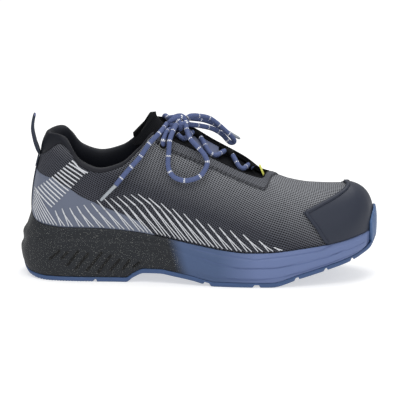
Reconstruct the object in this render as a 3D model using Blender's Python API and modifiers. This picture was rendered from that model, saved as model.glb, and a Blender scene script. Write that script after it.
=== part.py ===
"""Safety sneaker for the right foot: a knitted upper on a foam midsole and a rubber outsole.

+X points to the toe, +Y to the medial (inner) side and +Z up. The origin is on the floor under the
middle of the shoe. Every curved piece is worked out from one table of sections round the shoe.
"""

import math
from collections import namedtuple

import bmesh
import bpy
from mathutils import Vector

MM = 0.001

# Driving sizes
LENGTH = 303.0 * MM  # heel bulge to toe bumper
BALL = 108.0 * MM  # width of the midsole at the ball
HEEL = 78.0 * MM  # width of the midsole at the heel
SOLE_HEIGHT = 46.0 * MM  # floor to the upper's lower edge beside the heel
UPPER_HEIGHT = 77.0 * MM  # that edge to the top of the cuff behind the heel
WALL = 2.5 * MM  # the upper's knit with its lining
GAP = 0.3 * MM  # between pieces that touch
MERGE = 0.01 * MM
HEEL_BEVEL = 15.0 * MM
ARCH_LIFT = 8.5 * MM
TOE_SPRING = 20.0 * MM
RUBBER = 3.9 * MM  # outsole thickness
RUBBER_BACK = 0.35  # share of it at the very back of the heel
RUBBER_FULL = 0.05  # share of LENGTH from which it is full
RUBBER_ROUND = 1.1 * MM
RUBBER_IN = 0.5  # share of RIM_STEP from the widest line to the rubber's edge
SLOPE_REACH = 4.0 * MM  # over which the underside's slope is taken
RIM_STEP = 4.5 * MM  # widest line of the midsole to the upper's skin
LIP = 0.8 * MM  # flat rim of foam outside the skin
LEDGE = 1.6 * MM  # foam inside the upper's wall
CUP_SLOPE = 1.0 * MM
INSOLE = 3.5 * MM

# One row for each section round one side of the shoe, from the middle of the heel to the tip of the toe.
# along, top_along: shares of LENGTH. lateral, medial, top_side, top_mid, lean, reach: shares of width.
# feather: share of SOLE_HEIGHT. step: share of RIM_STEP. facing: degrees from heelwards round to toewards.
# top_rise, lift (more on the medial side), rise, drop and cuff: shares of UPPER_HEIGHT.
Row = namedtuple(
    "Row",
    "along width lateral medial feather step top_along top_side top_mid top_rise lift "
    "facing lean rise reach drop cuff",
)
SECTIONS = (
    Row(0, HEEL, 0, 0, 1.23, 2.1, 0.052, 0, 0, 0.74, 0, 0, 0.006, 0.21, 0.05, 0.21, 0.26),
    Row(0.010, HEEL, 0.212, 0.212, 1.15, 1.9, 0.061, 0.141, 0, 0.76, 0, 28, 0.010, 0.21, 0.05, 0.22, 0.24),
    Row(0.035, HEEL, 0.353, 0.353, 1.06, 1.5, 0.083, 0.256, 0, 0.83, 0, 50, 0.019, 0.22, 0.05, 0.23, 0.18),
    Row(0.076, HEEL, 0.455, 0.449, 1.02, 1.2, 0.111, 0.333, 0, 0.91, 0, 72, 0.026, 0.23, 0.04, 0.26, 0.09),
    Row(0.132, HEEL, 0.497, 0.487, 1.0, 1.0, 0.137, 0.385, 0, 0.84, 0.01, 86, 0.032, 0.23, 0.03, 0.23, 0.07),
    Row(0.191, HEEL, 0.503, 0.487, 1.0, 1.0, 0.168, 0.410, 0, 0.68, 0.04, 90, 0.032, 0.21, 0.01, 0.19, 0.06),
    Row(0.257, HEEL, 0.497, 0.474, 0.98, 1.0, 0.221, 0.436, 0, 0.615, 0.05, 90, 0.032, 0.19, 0, 0.19, 0.045),
    Row(0.323, HEEL, 0.510, 0.462, 0.94, 1.0, 0.281, 0.423, 0, 0.68, 0.05, 90, 0.032, 0.22, 0.01, 0.22, 0.04),
    Row(0.383, HEEL, 0.545, 0.465, 0.885, 1.0, 0.333, 0.385, 0, 0.865, 0.04, 90, 0.032, 0.29, 0.04, 0.29, 0.035),
    Row(0.442, BALL, 0.428, 0.356, 0.81, 1.0, 0.376, 0.245, 0, 1.03, 0.06, 90, 0.019, 0.36, 0.065, 0.35, 0.03),
    Row(0.502, BALL, 0.461, 0.389, 0.74, 1.0, 0.449, 0.222, 0, 0.92, 0.11, 90, 0.019, 0.36, 0.083, 0.29, 0),
    Row(0.568, BALL, 0.489, 0.431, 0.67, 1.0, 0.538, 0.185, 0, 0.75, 0.10, 90, 0.019, 0.34, 0.11, 0.18, 0),
    Row(0.634, BALL, 0.500, 0.468, 0.63, 1.0, 0.624, 0.139, 0, 0.58, 0.10, 90, 0.019, 0.32, 0.13, 0.10, 0),
    Row(0.690, BALL, 0.495, 0.494, 0.635, 1.0, 0.674, 0.074, 0, 0.510, 0.05, 92, 0.019, 0.31, 0.17, 0.05, 0),
    Row(0.743, BALL, 0.479, 0.500, 0.665, 1.0, 0.694, 0, 0, 0.563, 0, 96, 0.019, 0.31, 0.20, 0.03, 0),
    Row(0.795, BALL, 0.449, 0.492, 0.705, 1.0, 0.746, 0, 0, 0.490, 0, 103, 0.019, 0.32, 0.21, 0.01, 0),
    Row(0.851, BALL, 0.401, 0.469, 0.745, 1.0, 0.802, 0, 0.014, 0.447, 0, 113, 0.019, 0.34, 0.20, 0, 0),
    Row(0.908, BALL, 0.330, 0.424, 0.805, 1.0, 0.858, 0, 0.028, 0.44, 0, 125, 0.019, 0.34, 0.17, 0, 0),
    Row(0.957, BALL, 0.222, 0.345, 0.87, 1.0, 0.898, 0, 0.046, 0.44, 0, 140, 0.019, 0.34, 0.16, 0, 0),
    Row(0.989, BALL, 0.083, 0.230, 0.915, 1.0, 0.898, 0, 0.046, 0.44, 0, 160, 0.014, 0.325, 0.17, 0, 0),
    Row(1.0, BALL, -0.074, 0.074, 0.925, 1.0, 0.898, 0, 0.046, 0.44, 0, 180, 0.014, 0.325, 0.18, 0, 0),
)
TOE_ROW = len(SECTIONS) - 1
RING = 2 * TOE_ROW
THROAT_ROW = 14  # from here to the toe the two sides of the upper meet in a ridge
STATION_STEP = 0.5
UPPER_STEPS = 9  # faces from the upper's lower edge to its top

# Height of the outsole's underside above the floor: along is a share of LENGTH, share one of size.
Lift = namedtuple("Lift", "along size share")
UNDERSIDE = (
    Lift(0.000, HEEL_BEVEL, 1.40),
    Lift(0.0035, HEEL_BEVEL, 1.05),
    Lift(0.009, HEEL_BEVEL, 0.69),
    Lift(0.018, HEEL_BEVEL, 0.40),
    Lift(0.033, HEEL_BEVEL, 0.15),
    Lift(0.053, HEEL_BEVEL, 0.04),
    Lift(0.079, HEEL_BEVEL, 0.00),
    Lift(0.297, ARCH_LIFT, 0.00),
    Lift(0.318, ARCH_LIFT, 0.50),
    Lift(0.347, ARCH_LIFT, 0.96),
    Lift(0.390, ARCH_LIFT, 1.00),
    Lift(0.432, ARCH_LIFT, 0.79),
    Lift(0.482, ARCH_LIFT, 0.48),
    Lift(0.515, ARCH_LIFT, 0.19),
    Lift(0.545, ARCH_LIFT, 0.00),
    Lift(0.700, TOE_SPRING, 0.00),
    Lift(0.780, TOE_SPRING, 0.34),
    Lift(0.858, TOE_SPRING, 0.67),
    Lift(0.931, TOE_SPRING, 1.00),
    Lift(0.977, TOE_SPRING, 1.36),
    Lift(1.000, TOE_SPRING, 1.80),
)
FOOTBED = (
    Lift(0.000, SOLE_HEIGHT, 0.76),
    Lift(0.200, SOLE_HEIGHT, 0.74),
    Lift(0.360, SOLE_HEIGHT, 0.66),
    Lift(0.500, SOLE_HEIGHT, 0.51),
    Lift(0.640, SOLE_HEIGHT, 0.43),
    Lift(0.790, SOLE_HEIGHT, 0.48),
    Lift(0.910, SOLE_HEIGHT, 0.63),
    Lift(1.000, SOLE_HEIGHT, 0.80),
)

# The midsole's side from its lower edge to its rim, at the heel's back, beside the heel and at the forefoot.
# The rises are shares of the side's height, the insets are shares of RIM_STEP in from the widest line.
SideStep = namedtuple("SideStep", "back_rise back_in side_rise side_in fore_rise fore_in")
SIDE_STEPS = (
    SideStep(0.00, 0.60, 0.00, 0.58, 0.00, 0.58),
    SideStep(0.08, 0.22, 0.10, 0.22, 0.13, 0.42),
    SideStep(0.24, 0.00, 0.35, 0.00, 0.17, 0.14),
    SideStep(0.30, 0.08, 0.62, 0.06, 0.46, 0.02),
    SideStep(0.37, 0.42, 0.74, 0.14, 0.50, 0.18),
    SideStep(0.42, 0.45, 0.78, 0.50, 0.55, 0.08),
    SideStep(0.53, 0.36, 0.86, 0.46, 0.78, 0.14),
    SideStep(0.70, 1.20, 0.96, 0.62, 0.83, 0.36),
)
HEEL_BACK_END = 3.0  # station where the heel's back has become its side
FOREFOOT_START = 8.0
FOREFOOT_FULL = 11.0

# Rubber bumper over the toe
BUMPER = 2.7 * MM
BUMPER_TOP = 18.5 * MM  # above the upper's lower edge
BUMPER_END_TOP = 8.0 * MM
BUMPER_REACH = 1.2  # stations to each side of the toe
BUMPER_STEP = 0.3

# Channels between the lugs: along is a share of LENGTH, skew is in degrees about the vertical and span is
# a share of BALL. The short ones stay inside the sole's edge.
Channel = namedtuple("Channel", "along width skew span")
CHANNELS = (
    Channel(0.110, 2.6 * MM, -8, 0.45),
    Channel(0.165, 2.6 * MM, -8, 0.50),
    Channel(0.229, 2.6 * MM, -8, 1.30),
    Channel(0.495, 5.4 * MM, 10, 1.30),
    Channel(0.550, 2.6 * MM, 8, 0.60),
    Channel(0.600, 2.6 * MM, 6, 0.65),
    Channel(0.649, 5.4 * MM, 4, 1.30),
    Channel(0.715, 2.6 * MM, 0, 0.70),
    Channel(0.781, 3.4 * MM, -3, 1.30),
    Channel(0.858, 2.6 * MM, -2, 1.30),
    Channel(0.927, 2.2 * MM, 0, 1.30),
)
CHANNEL_DEPTH = 2.3 * MM

# Slanted grooves in the side of the heel: along is a share of LENGTH, height a share of SOLE_HEIGHT.
Groove = namedtuple("Groove", "along height length")
GROOVES = (
    Groove(0.099, 0.49, 10.5 * MM),
    Groove(0.126, 0.50, 7.2 * MM),
    Groove(0.149, 0.45, 14.8 * MM),
    Groove(0.175, 0.39, 16.4 * MM),
    Groove(0.210, 0.39, 19.2 * MM),
    Groove(0.237, 0.34, 17.5 * MM),
    Groove(0.267, 0.33, 12.1 * MM),
    Groove(0.298, 0.34, 9.1 * MM),
    Groove(0.326, 0.34, 6.1 * MM),
)
GROOVE_WIDTH = 1.6 * MM
GROOVE_DEPTH = 1.5 * MM
GROOVE_TILT = 52  # degrees above the floor, rising to the toe

# Tongue
TONGUE = 4.5 * MM
TONGUE_TUCK = 12.0 * MM  # how far it reaches under the eyestay
TONGUE_CLEAR = 0.7 * MM
TONGUE_CROWN = 2.0 * MM  # at its back; further on it lies flat below the throat's edges
TONGUE_SUNK = 10.6  # station from which it does
TONGUE_SINK = 0.28  # share of the tuck that it is below them
TONGUE_WIDE = 25.0 * MM  # width of the throat from which the crown is full
TONGUE_FRONT = 14.8  # stations
TONGUE_BACK = 9.6

# Sections of the tongue above the eyestay, from its free edge down. forward and up are measured from its
# middle at TONGUE_BACK, and the edges lie back and down from the middle, all as shares of TONGUE_RISE. half
# is a share of TONGUE_HALF.
TONGUE_RISE = 14.0 * MM
TONGUE_HALF = 21.5 * MM
TongueTop = namedtuple("TongueTop", "forward up half back down")
TONGUE_TOP = (
    TongueTop(-0.85, 1.00, 0.96, 1.43, 1.57),
    TongueTop(-0.82, 0.79, 0.99, 1.36, 1.55),
    TongueTop(-0.61, 0.52, 1.00, 1.07, 1.21),
    TongueTop(-0.32, 0.25, 1.01, 0.55, 0.68),
)

# Overlays on the upper. away counts stations from the middle of the toe or heel, low and high are shares
# of the skin from its lower edge to its top.
Patch = namedtuple("Patch", "away low high")
FILM = 0.8 * MM
FILM_CLEAR = 0.65 * MM
TOE_CAP = (
    Patch(0.00, 0.00, 0.965),
    Patch(1.30, 0.00, 0.955),
    Patch(1.90, 0.00, 0.910),
    Patch(2.30, 0.00, 0.820),
    Patch(2.70, 0.00, 0.700),
    Patch(3.30, 0.00, 0.600),
    Patch(3.85, 0.00, 0.525),
    Patch(4.20, 0.12, 0.480),
    Patch(4.55, 0.26, 0.440),
    Patch(4.90, 0.40, 0.400),
)
HEEL_PANEL = (
    Patch(0.00, 0.00, 0.75),
    Patch(1.00, 0.00, 0.71),
    Patch(2.50, 0.00, 0.60),
    Patch(4.10, 0.00, 0.52),
    Patch(5.45, 0.00, 0.45),
    Patch(6.35, 0.00, 0.32),
    Patch(7.20, 0.00, 0.17),
    Patch(7.90, 0.00, 0.00),
)
EYESTAY = 0.7 * MM
EYESTAY_ROWS = (
    Patch(9.00, 0.91, 1.00),
    Patch(9.50, 0.86, 1.00),
    Patch(10.00, 0.85, 1.00),
    Patch(11.00, 0.83, 1.00),
    Patch(12.00, 0.80, 1.00),
    Patch(13.00, 0.74, 1.00),
    Patch(13.50, 0.76, 1.00),
    Patch(14.00, 0.85, 1.00),
    Patch(14.50, 1.00, 1.00),
)

# Cuff round the collar
CUFF_END = 8.9  # station where each end of the cuff meets the eyestay
CUFF_SWELL = 0.7 * MM
PAD = 7.0 * MM  # padding inside the upper's wall
PAD_END = 2.5 * MM
PAD_DEPTH = 24.0 * MM  # how far it reaches down inside
PAD_CLEAR = 1.0 * MM
CUFF_SEAT = 0.6 * MM  # seam between the upper's top edge and the cuff
CUFF_LOW = 2.0 * MM  # height of the cuff up to which it doesn't swell, and from which it swells in full
CUFF_HIGH = 8.0 * MM

# Pull loop: a folded ribbon. Its route goes forward and up from the top of the upper's back, in shares of
# LOOP_HEIGHT.
RIBBON = 1.2 * MM
RIBBON_WIDTH = 13.0 * MM
RIBBON_TAB = 10.0 * MM  # length stitched to the heel
LOOP_HEIGHT = 33.0 * MM
PULL_LOOP = (
    (-0.079, 0.121),
    (-0.148, 0.318),
    (-0.209, 0.621),
    (-0.200, 0.818),
    (-0.172, 0.955),
    (-0.130, 1.000),
    (-0.091, 0.955),
    (-0.103, 0.818),
    (-0.155, 0.615),
    (-0.097, 0.327),
    (-0.045, 0.182),
)

# Lace
LACE = 2.1 * MM  # half its thickness
LACE_CLEAR = 1.2 * MM
BAR_STATIONS = (10.0, 10.5, 11.0, 11.5, 11.95, 12.4)
BAR_TURN = ((-0.12, 9.5 * MM), (0.0, 7.0 * MM), (0.12, 9.5 * MM))  # stations ahead, distance inwards
TIP = 1.7 * MM  # half the thickness of a lace's tip
EYELET = 3.2 * MM
EYELET_WIRE = 0.6 * MM
EYELET_STATION = 9.3
EYELET_DROP = 9.0 * MM
TAG_SIZE = (1.2 * MM, 6.0 * MM, 10.5 * MM)
TAG_CLEAR = 1.4 * MM
TAG_STATION = 13.05
TAG_TILT = 24  # degrees back from upright

# The free lace's routes in millimetres
KNOT_CENTRE = (-20.0, -1.0, 131.2)
KNOT_HALVES = (9.5, 8.0, 6.4)
LOOP_LATERAL = (
    (-20.5, -10.6, 131.0),
    (-22.5, -19.2, 128.6),
    (-25.6, -31.2, 122.0),
    (-26.3, -34.9, 113.2),
    (-26.8, -37.6, 101.0),
    (-23.9, -39.8, 94.0),
    (-19.0, -40.6, 90.5),
    (-11.0, -40.4, 89.0),
    (-1.5, -38.4, 91.5),
    (3.5, -36.2, 96.6),
    (6.0, -32.5, 102.8),
    (3.5, -30.0, 109.2),
    (-1.5, -27.8, 114.5),
    (-8.5, -21.5, 120.8),
    (-11.5, -13.0, 126.5),
    (-12.5, -8.0, 130.0),
)
LOOP_MEDIAL = (
    (-11.5, 1.5, 134.6),
    (-8.3, 3.6, 135.9),
    (-2.0, 10.0, 134.8),
    (6.3, 17.0, 132.0),
    (13.1, 21.5, 127.0),
    (21.2, 25.5, 119.2),
    (27.5, 28.5, 112.6),
    (28.8, 31.0, 108.6),
    (25.0, 31.5, 108.2),
    (18.2, 29.5, 115.5),
    (10.5, 25.0, 120.8),
    (1.2, 17.0, 124.6),
    (-7.5, 9.2, 127.2),
    (-12.9, 5.2, 128.6),
)
END_LATERAL = (
    (-28.6, -7.0, 130.8),
    (-30.5, -17.0, 129.8),
    (-34.5, -29.0, 127.0),
    (-43.0, -34.0, 118.5),
    (-50.3, -36.3, 107.8),
    (-59.2, -38.0, 97.8),
    (-66.9, -38.8, 88.6),
    (-70.4, -39.0, 84.0),
)
TIP_LATERAL = ((-70.6, -39.0, 83.7), (-83.2, -40.2, 70.8))
END_MEDIAL = (
    (-18.2, 7.6, 132.0),
    (-15.0, 12.0, 132.0),
    (-7.0, 18.4, 130.8),
    (3.0, 24.2, 128.4),
    (11.5, 29.5, 124.4),
    (17.5, 33.8, 120.0),
)
TIP_MEDIAL = ((17.8, 34.0, 119.8), (34.0, 39.0, 109.8))


def monotone(before, start, end, after, share):
    """A cubic from start to end that never overshoots the rows it passes."""
    left = start - before
    step = end - start
    right = after - end
    leave = 2 * left * step / (left + step) if left * step > 0 else 0.0
    arrive = 2 * step * right / (step + right) if step * right > 0 else 0.0
    rest = 1 - share
    return (
        start * (1 + 2 * share) * rest**2
        + leave * share * rest**2
        + end * share**2 * (3 - 2 * share)
        - arrive * share**2 * rest
    )


def height_at(table, along):
    """Height of a lengthwise table at a share of LENGTH, smooth and without overshoot."""
    last = len(table) - 2
    index = max(i for i in range(last + 1) if i == 0 or table[i].along <= along)
    near = table[index]
    far = table[index + 1]
    span = far.along - near.along

    def slope(left, right):
        return (right.size * right.share - left.size * left.share) / (right.along - left.along)

    def joined(one, other):
        return 2 * one * other / (one + other) if one * other > 0 else 0.0

    middle = slope(near, far)
    leave = joined(slope(table[index - 1], near), middle) if index > 0 else middle
    arrive = joined(middle, slope(far, table[index + 2])) if index < last else middle
    share = (along - near.along) / span
    rest = 1 - share
    return (
        near.size * near.share * (1 + 2 * share) * rest**2
        + leave * span * share * rest**2
        + far.size * far.share * share**2 * (3 - 2 * share)
        - arrive * span * share**2 * rest
    )


def ground(x):
    """Height of the outsole's underside."""
    return height_at(UNDERSIDE, min(max(x / LENGTH + 0.5, 0.0), 1.0))


def outsole_top(x):
    """Height of the outsole's flat top, which thins towards the back of the heel."""
    full = blend(0, RUBBER_FULL, x / LENGTH + 0.5)
    return ground(x) + RUBBER * (RUBBER_BACK + (1 - RUBBER_BACK) * full)


def footbed(x):
    """Height of the midsole's inner floor."""
    return height_at(FOOTBED, min(max(x / LENGTH + 0.5, 0.0), 1.0))


def ring_row(index):
    """One row in metres. The index counts round the shoe: heel, lateral side, toe, medial side."""
    lateral = index <= TOE_ROW
    row = SECTIONS[index if lateral else RING - index]
    side = -1 if lateral else 1
    breadth = row.lateral if lateral else row.medial
    rise = row.top_rise if lateral else row.top_rise + row.lift
    facing = math.radians(row.facing)
    return (
        (row.along - 0.5) * LENGTH,
        side * breadth * row.width,
        row.feather * SOLE_HEIGHT,
        row.step * RIM_STEP,
        (row.top_along - 0.5) * LENGTH,
        (side * row.top_side + row.top_mid) * row.width,
        SOLE_HEIGHT + rise * UPPER_HEIGHT,
        -math.cos(facing),
        side * math.sin(facing),
        row.lean * row.width,
        row.rise * UPPER_HEIGHT,
        row.reach * row.width,
        row.drop * UPPER_HEIGHT,
        row.cuff * UPPER_HEIGHT,
    )


RING_ROWS = [ring_row(index) for index in range(RING)]
Place = namedtuple("Place", "outline feather step top facing lean rise reach drop cuff")


def section(station):
    """The table at any station round the shoe, 0 at the heel and TOE_ROW at the toe."""
    start = math.floor(station)
    rows = [RING_ROWS[(start + offset) % RING] for offset in (-1, 0, 1, 2)]
    values = [monotone(*column, station - start) for column in zip(*rows)]
    return Place(
        Vector((values[0], values[1], 0)),
        values[2],
        values[3],
        Vector(values[4:7]),
        Vector((values[7], values[8], 0)).normalized(),
        *values[9:],
    )


def skin_point(station, share):
    """A point on the upper's outer skin, from its lower edge (share 0) to its top edge or ridge (1)."""
    at = section(station)
    foot = at.outline - at.facing * at.step + Vector((0, 0, at.feather + GAP))
    low = foot + at.facing * at.lean + Vector((0, 0, at.rise))
    high = at.top + at.facing * at.reach - Vector((0, 0, at.drop))
    rest = 1 - share
    return foot * rest**3 + low * 3 * share * rest**2 + high * 3 * share**2 * rest + at.top * share**3


def skin_normal(station, share):
    """Outward direction of the skin."""
    over = skin_point(station + 0.05, share) - skin_point(station - 0.05, share)
    up = skin_point(station, share + 0.01) - skin_point(station, share - 0.01)
    normal = over.cross(up)
    if normal.length < 1e-9:
        return Vector((0, 0, 1))
    return normal.normalized()


def on_ridge(station, share):
    """Whether a place is on the line where the two sides meet in front of the throat."""
    return share > 0.999 and THROAT_ROW <= station <= RING - THROAT_ROW


def shell_point(station, share, depth):
    """A point at a depth inside the skin, or outside it where the depth is negative."""
    normal = skin_normal(station, share)
    if on_ridge(station, share):
        normal = (normal + skin_normal(RING - station, share)).normalized()
    return skin_point(station, share) - normal * depth


def section_length(station):
    """Length of the skin from its lower edge to its top edge."""
    points = [skin_point(station, step / 12) for step in range(13)]
    return sum((far - near).length for near, far in zip(points, points[1:]))


def edge_point(station, up, depth):
    """A point near the top edge: up follows the skin above it (below it where negative)."""
    if up <= 0:
        return shell_point(station, 1 + up / section_length(station), depth)
    along = skin_point(station, 1.0) - skin_point(station, 0.96)
    return shell_point(station, 1.0, depth) + along.normalized() * up


def blend(low, high, value):
    """0 below low, 1 above high and smooth between."""
    share = min(max((value - low) / (high - low), 0.0), 1.0)
    return share * share * (3 - 2 * share)


def stations(start, end, step):
    """Stations from start to end in equal steps of about the size asked for."""
    count = max(1, round((end - start) / step))
    return [start + (end - start) * index / count for index in range(count + 1)]


def new_collection(name):
    collection = bpy.data.collections.new(name)
    bpy.context.scene.collection.children.link(collection)
    return collection


def finish(name, colour, roughness, metallic=0.0):
    """A plain material."""
    material = bpy.data.materials.new(name)
    material.use_nodes = True
    shader = material.node_tree.nodes["Principled BSDF"]
    shader.inputs["Base Color"].default_value = (*colour, 1)
    shader.inputs["Roughness"].default_value = roughness
    shader.inputs["Metallic"].default_value = metallic
    return material


def add_object(name, data, material):
    """An object in the shoe's collection, with one material."""
    data.name = name
    data.materials.clear()
    data.materials.append(material)
    piece = bpy.data.objects.new(name, data)
    SHOE.objects.link(piece)
    return piece


def loft(name, sections, material, closed_section, closed_ring=False):
    """A surface through sections of as many points each. Points that meet are merged."""
    work = bmesh.new()
    rows = [[work.verts.new(point) for point in points] for points in sections]
    followers = rows[1:] + rows[:1] if closed_ring else rows[1:]
    count = len(rows[0])
    spans = count if closed_section else count - 1
    for near, far in zip(rows, followers):
        for index in range(spans):
            after = (index + 1) % count
            work.faces.new((near[index], far[index], far[after], near[after]))
    bmesh.ops.remove_doubles(work, verts=work.verts, dist=MERGE)
    bmesh.ops.dissolve_degenerate(work, dist=MERGE / 10, edges=work.edges)
    if closed_section:
        bmesh.ops.recalc_face_normals(work, faces=work.faces)
    mesh = bpy.data.meshes.new(name)
    work.to_mesh(mesh)
    work.free()
    mesh.shade_smooth()
    return add_object(name, mesh, material)


def thicken(piece, thickness):
    """Gives a sheet its thickness inwards from its outer face."""
    solid = piece.modifiers.new("thickness", "SOLIDIFY")
    solid.thickness = thickness
    solid.offset = -1
    solid.use_even_offset = True
    return piece


def add_cutter(piece, name, size, placing):
    """Cuts a box out of a piece. placing is its centre and its turn."""
    work = bmesh.new()
    bmesh.ops.create_cube(work, size=1)
    bmesh.ops.scale(work, vec=size, verts=work.verts)
    mesh = bpy.data.meshes.new(name)
    work.to_mesh(mesh)
    work.free()
    cutter = bpy.data.objects.new(name, mesh)
    cutter.location, cutter.rotation_euler = placing
    cutter.hide_render = True
    cutter.display_type = "WIRE"
    CUTTERS.objects.link(cutter)
    cut = piece.modifiers.new(name, "BOOLEAN")
    cut.operation = "DIFFERENCE"
    cut.solver = "EXACT"
    cut.object = cutter


def across(lateral, medial, shares, height):
    """Points between the two sides at shares of the way over, each at the height of its place."""
    points = []
    for share in shares:
        point = lateral.lerp(medial, share)
        point.z = height(point.x)
        points.append(point)
    return points


def toe_recess(station):
    """Share of the room that the bumper takes from the midsole."""
    away = abs(station - TOE_ROW)
    return 1 - blend(BUMPER_REACH + 0.1, BUMPER_REACH + 0.7, away)


def side_inset(station, inset, z):
    """A point of the sole's side at a distance in from its widest line."""
    at = section(station)
    point = at.outline - at.facing * inset
    point.z = z
    return point


def midsole_side(station):
    """The midsole's side from its lower edge up to the rim, over the ledge and down to its cup."""
    at = section(station)
    away = min(station, RING - station)
    to_side = blend(0.0, HEEL_BACK_END, away)
    to_fore = blend(FOREFOOT_START, FOREFOOT_FULL, away)
    recess = toe_recess(station) * (BUMPER + GAP)
    points = []
    for row in SIDE_STEPS:
        rise = row.back_rise + (row.side_rise - row.back_rise) * to_side
        rise += (row.fore_rise - row.side_rise) * to_fore
        inset = row.back_in + (row.side_in - row.back_in) * to_side
        inset += (row.fore_in - row.side_in) * to_fore
        inset = max(inset * RIM_STEP, recess)
        low = outsole_top(side_inset(station, inset, 0).x) + GAP
        points.append(side_inset(station, inset, low + (at.feather - low) * rise))
    lip = max(at.step - LIP, recess)
    ledge = at.step + WALL + LEDGE
    points.append(side_inset(station, lip, at.feather))
    points.append(side_inset(station, ledge, at.feather))
    cup = side_inset(station, ledge + CUP_SLOPE, 0)
    cup.z = footbed(cup.x)
    points.append(cup)
    return points


def mirrored(station):
    """The same place on the shoe's other side."""
    return RING - station


def add_midsole():
    """Foam cup: a rim that the upper's edge stands on, and a floor for the insole."""
    sections = []
    for station in stations(0, TOE_ROW, STATION_STEP):
        lateral = midsole_side(station)
        medial = midsole_side(mirrored(station))
        floor = across(lateral[-1], medial[-1], (0.25, 0.5, 0.75), footbed)
        under = across(medial[0], lateral[0], (0.25, 0.5, 0.75), lambda x: outsole_top(x) + GAP)
        sections.append(lateral + floor + medial[::-1] + under)
    midsole = loft("midsole", sections, FOAM, closed_section=True)
    for side in (-1, 1):
        for number, groove in enumerate(GROOVES):
            x = (groove.along - 0.5) * LENGTH
            station = station_at(x, side)
            surface = side_inset(station, 0, groove.height * SOLE_HEIGHT)
            size = (groove.length, 2 * GROOVE_DEPTH, GROOVE_WIDTH)
            turn = (0, -math.radians(GROOVE_TILT), 0)
            add_cutter(midsole, f"groove_{side}_{number}", size, (surface, turn))
    return midsole


def station_at(x, side):
    """Station whose widest line lies at a distance along the shoe, on the side asked for."""
    low = 0.0
    high = float(TOE_ROW)
    while high - low > 1e-4:
        middle = (low + high) / 2
        if section(middle if side < 0 else RING - middle).outline.x < x:
            low = middle
        else:
            high = middle
    return low if side < 0 else RING - low


def outsole_side(station):
    """The outsole's edge from its underside to its top, and in to the midsole's lower edge."""
    toe = toe_recess(station)
    outer = RIM_STEP * RUBBER_IN * (1 - toe) + GAP * toe
    low, high = (side_inset(station, inset, 0) for inset in (outer + RUBBER_ROUND, outer))
    low.z = ground(low.x)
    high.z = ground(high.x) + RUBBER_ROUND
    top = high.copy()
    top.z = outsole_top(top.x)
    points = [low, high, top]
    points.append(midsole_side(station)[0] - Vector((0, 0, GAP)))
    return points


def add_outsole():
    """Rubber sole with channels between its lugs, and the bumper that wraps up over the toe."""
    sections = []
    for station in stations(0, TOE_ROW, STATION_STEP):
        lateral = outsole_side(station)
        medial = outsole_side(mirrored(station))
        top = across(lateral[-1], medial[-1], (0.25, 0.5, 0.75), outsole_top)
        under = across(medial[0], lateral[0], (0.25, 0.5, 0.75), ground)
        sections.append(lateral + top + medial[::-1] + under)
    outsole = loft("outsole", sections, RUBBER_BLUE, closed_section=True)
    join = outsole.modifiers.new("bumper", "BOOLEAN")
    join.operation = "UNION"
    join.solver = "EXACT"
    join.object = add_bumper()
    for number, channel in enumerate(CHANNELS):
        x = (channel.along - 0.5) * LENGTH
        slope = (ground(x + SLOPE_REACH) - ground(x - SLOPE_REACH)) / (2 * SLOPE_REACH)
        skew = math.radians(channel.skew)
        size = (channel.width, channel.span * BALL, 2 * CHANNEL_DEPTH)
        turn = (-math.atan(slope * math.sin(skew)), -math.atan(slope), skew)
        add_cutter(outsole, f"channel_{number}", size, ((x, 0, ground(x)), turn))
    return outsole


def add_bumper():
    """The form of the toe bumper, joined to the outsole."""
    sections = []
    profile = ((1.0, 0.0), (0.35, 0.0), (0.0, 0.35), (0.2, 0.75), (0.6, 0.95), (1.0, 1.0))
    for station in stations(TOE_ROW - BUMPER_REACH, TOE_ROW + BUMPER_REACH, BUMPER_STEP):
        at = section(station)
        away = abs(station - TOE_ROW) / BUMPER_REACH
        top = BUMPER_TOP + (BUMPER_END_TOP - BUMPER_TOP) * away**2
        low = ground(at.outline.x - BUMPER) + 0.4 * RUBBER
        high = at.feather + top
        points = []
        for inset, share in profile:
            points.append(side_inset(station, inset * BUMPER, low + (high - low) * share))
        sections.append(points)
    form = loft("bumper_form", sections, RUBBER_BLUE, closed_section=True)
    close_ends(form)
    SHOE.objects.unlink(form)
    CUTTERS.objects.link(form)
    form.hide_render = True
    form.display_type = "WIRE"
    return form


def close_ends(piece):
    """Fills the open ends of a lofted bar."""
    work = bmesh.new()
    work.from_mesh(piece.data)
    open_edges = [edge for edge in work.edges if edge.is_boundary]
    bmesh.ops.holes_fill(work, edges=open_edges)
    bmesh.ops.recalc_face_normals(work, faces=work.faces)
    work.to_mesh(piece.data)
    work.free()


def add_insole():
    """Footbed that lies in the midsole's cup."""
    sections = []
    for station in stations(0, TOE_ROW, 1.0):
        pair = []
        for here in (station, mirrored(station)):
            at = section(here)
            inset = at.step + WALL + LEDGE + CUP_SLOPE + 2 * GAP
            lower = side_inset(here, inset, 0)
            lower.z = footbed(lower.x) + GAP
            pair.append([lower, lower + Vector((0, 0, INSOLE))])
        lateral, medial = pair
        top = across(lateral[1], medial[1], (0.5,), lambda x: footbed(x) + GAP + INSOLE)
        under = across(medial[0], lateral[0], (0.5,), lambda x: footbed(x) + GAP)
        sections.append(lateral + top + medial[::-1] + under)
    return loft("insole", sections, INSOLE_CLOTH, closed_section=True)


def add_upper():
    """One knitted shell, open underneath, at the throat and at the collar."""
    sections = []
    for station in stations(0, RING, STATION_STEP)[:-1]:
        sections.append([skin_point(station, step / UPPER_STEPS) for step in range(UPPER_STEPS + 1)])
    upper = loft("upper", sections, KNIT, closed_section=False, closed_ring=True)
    return thicken(upper, WALL)


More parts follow.
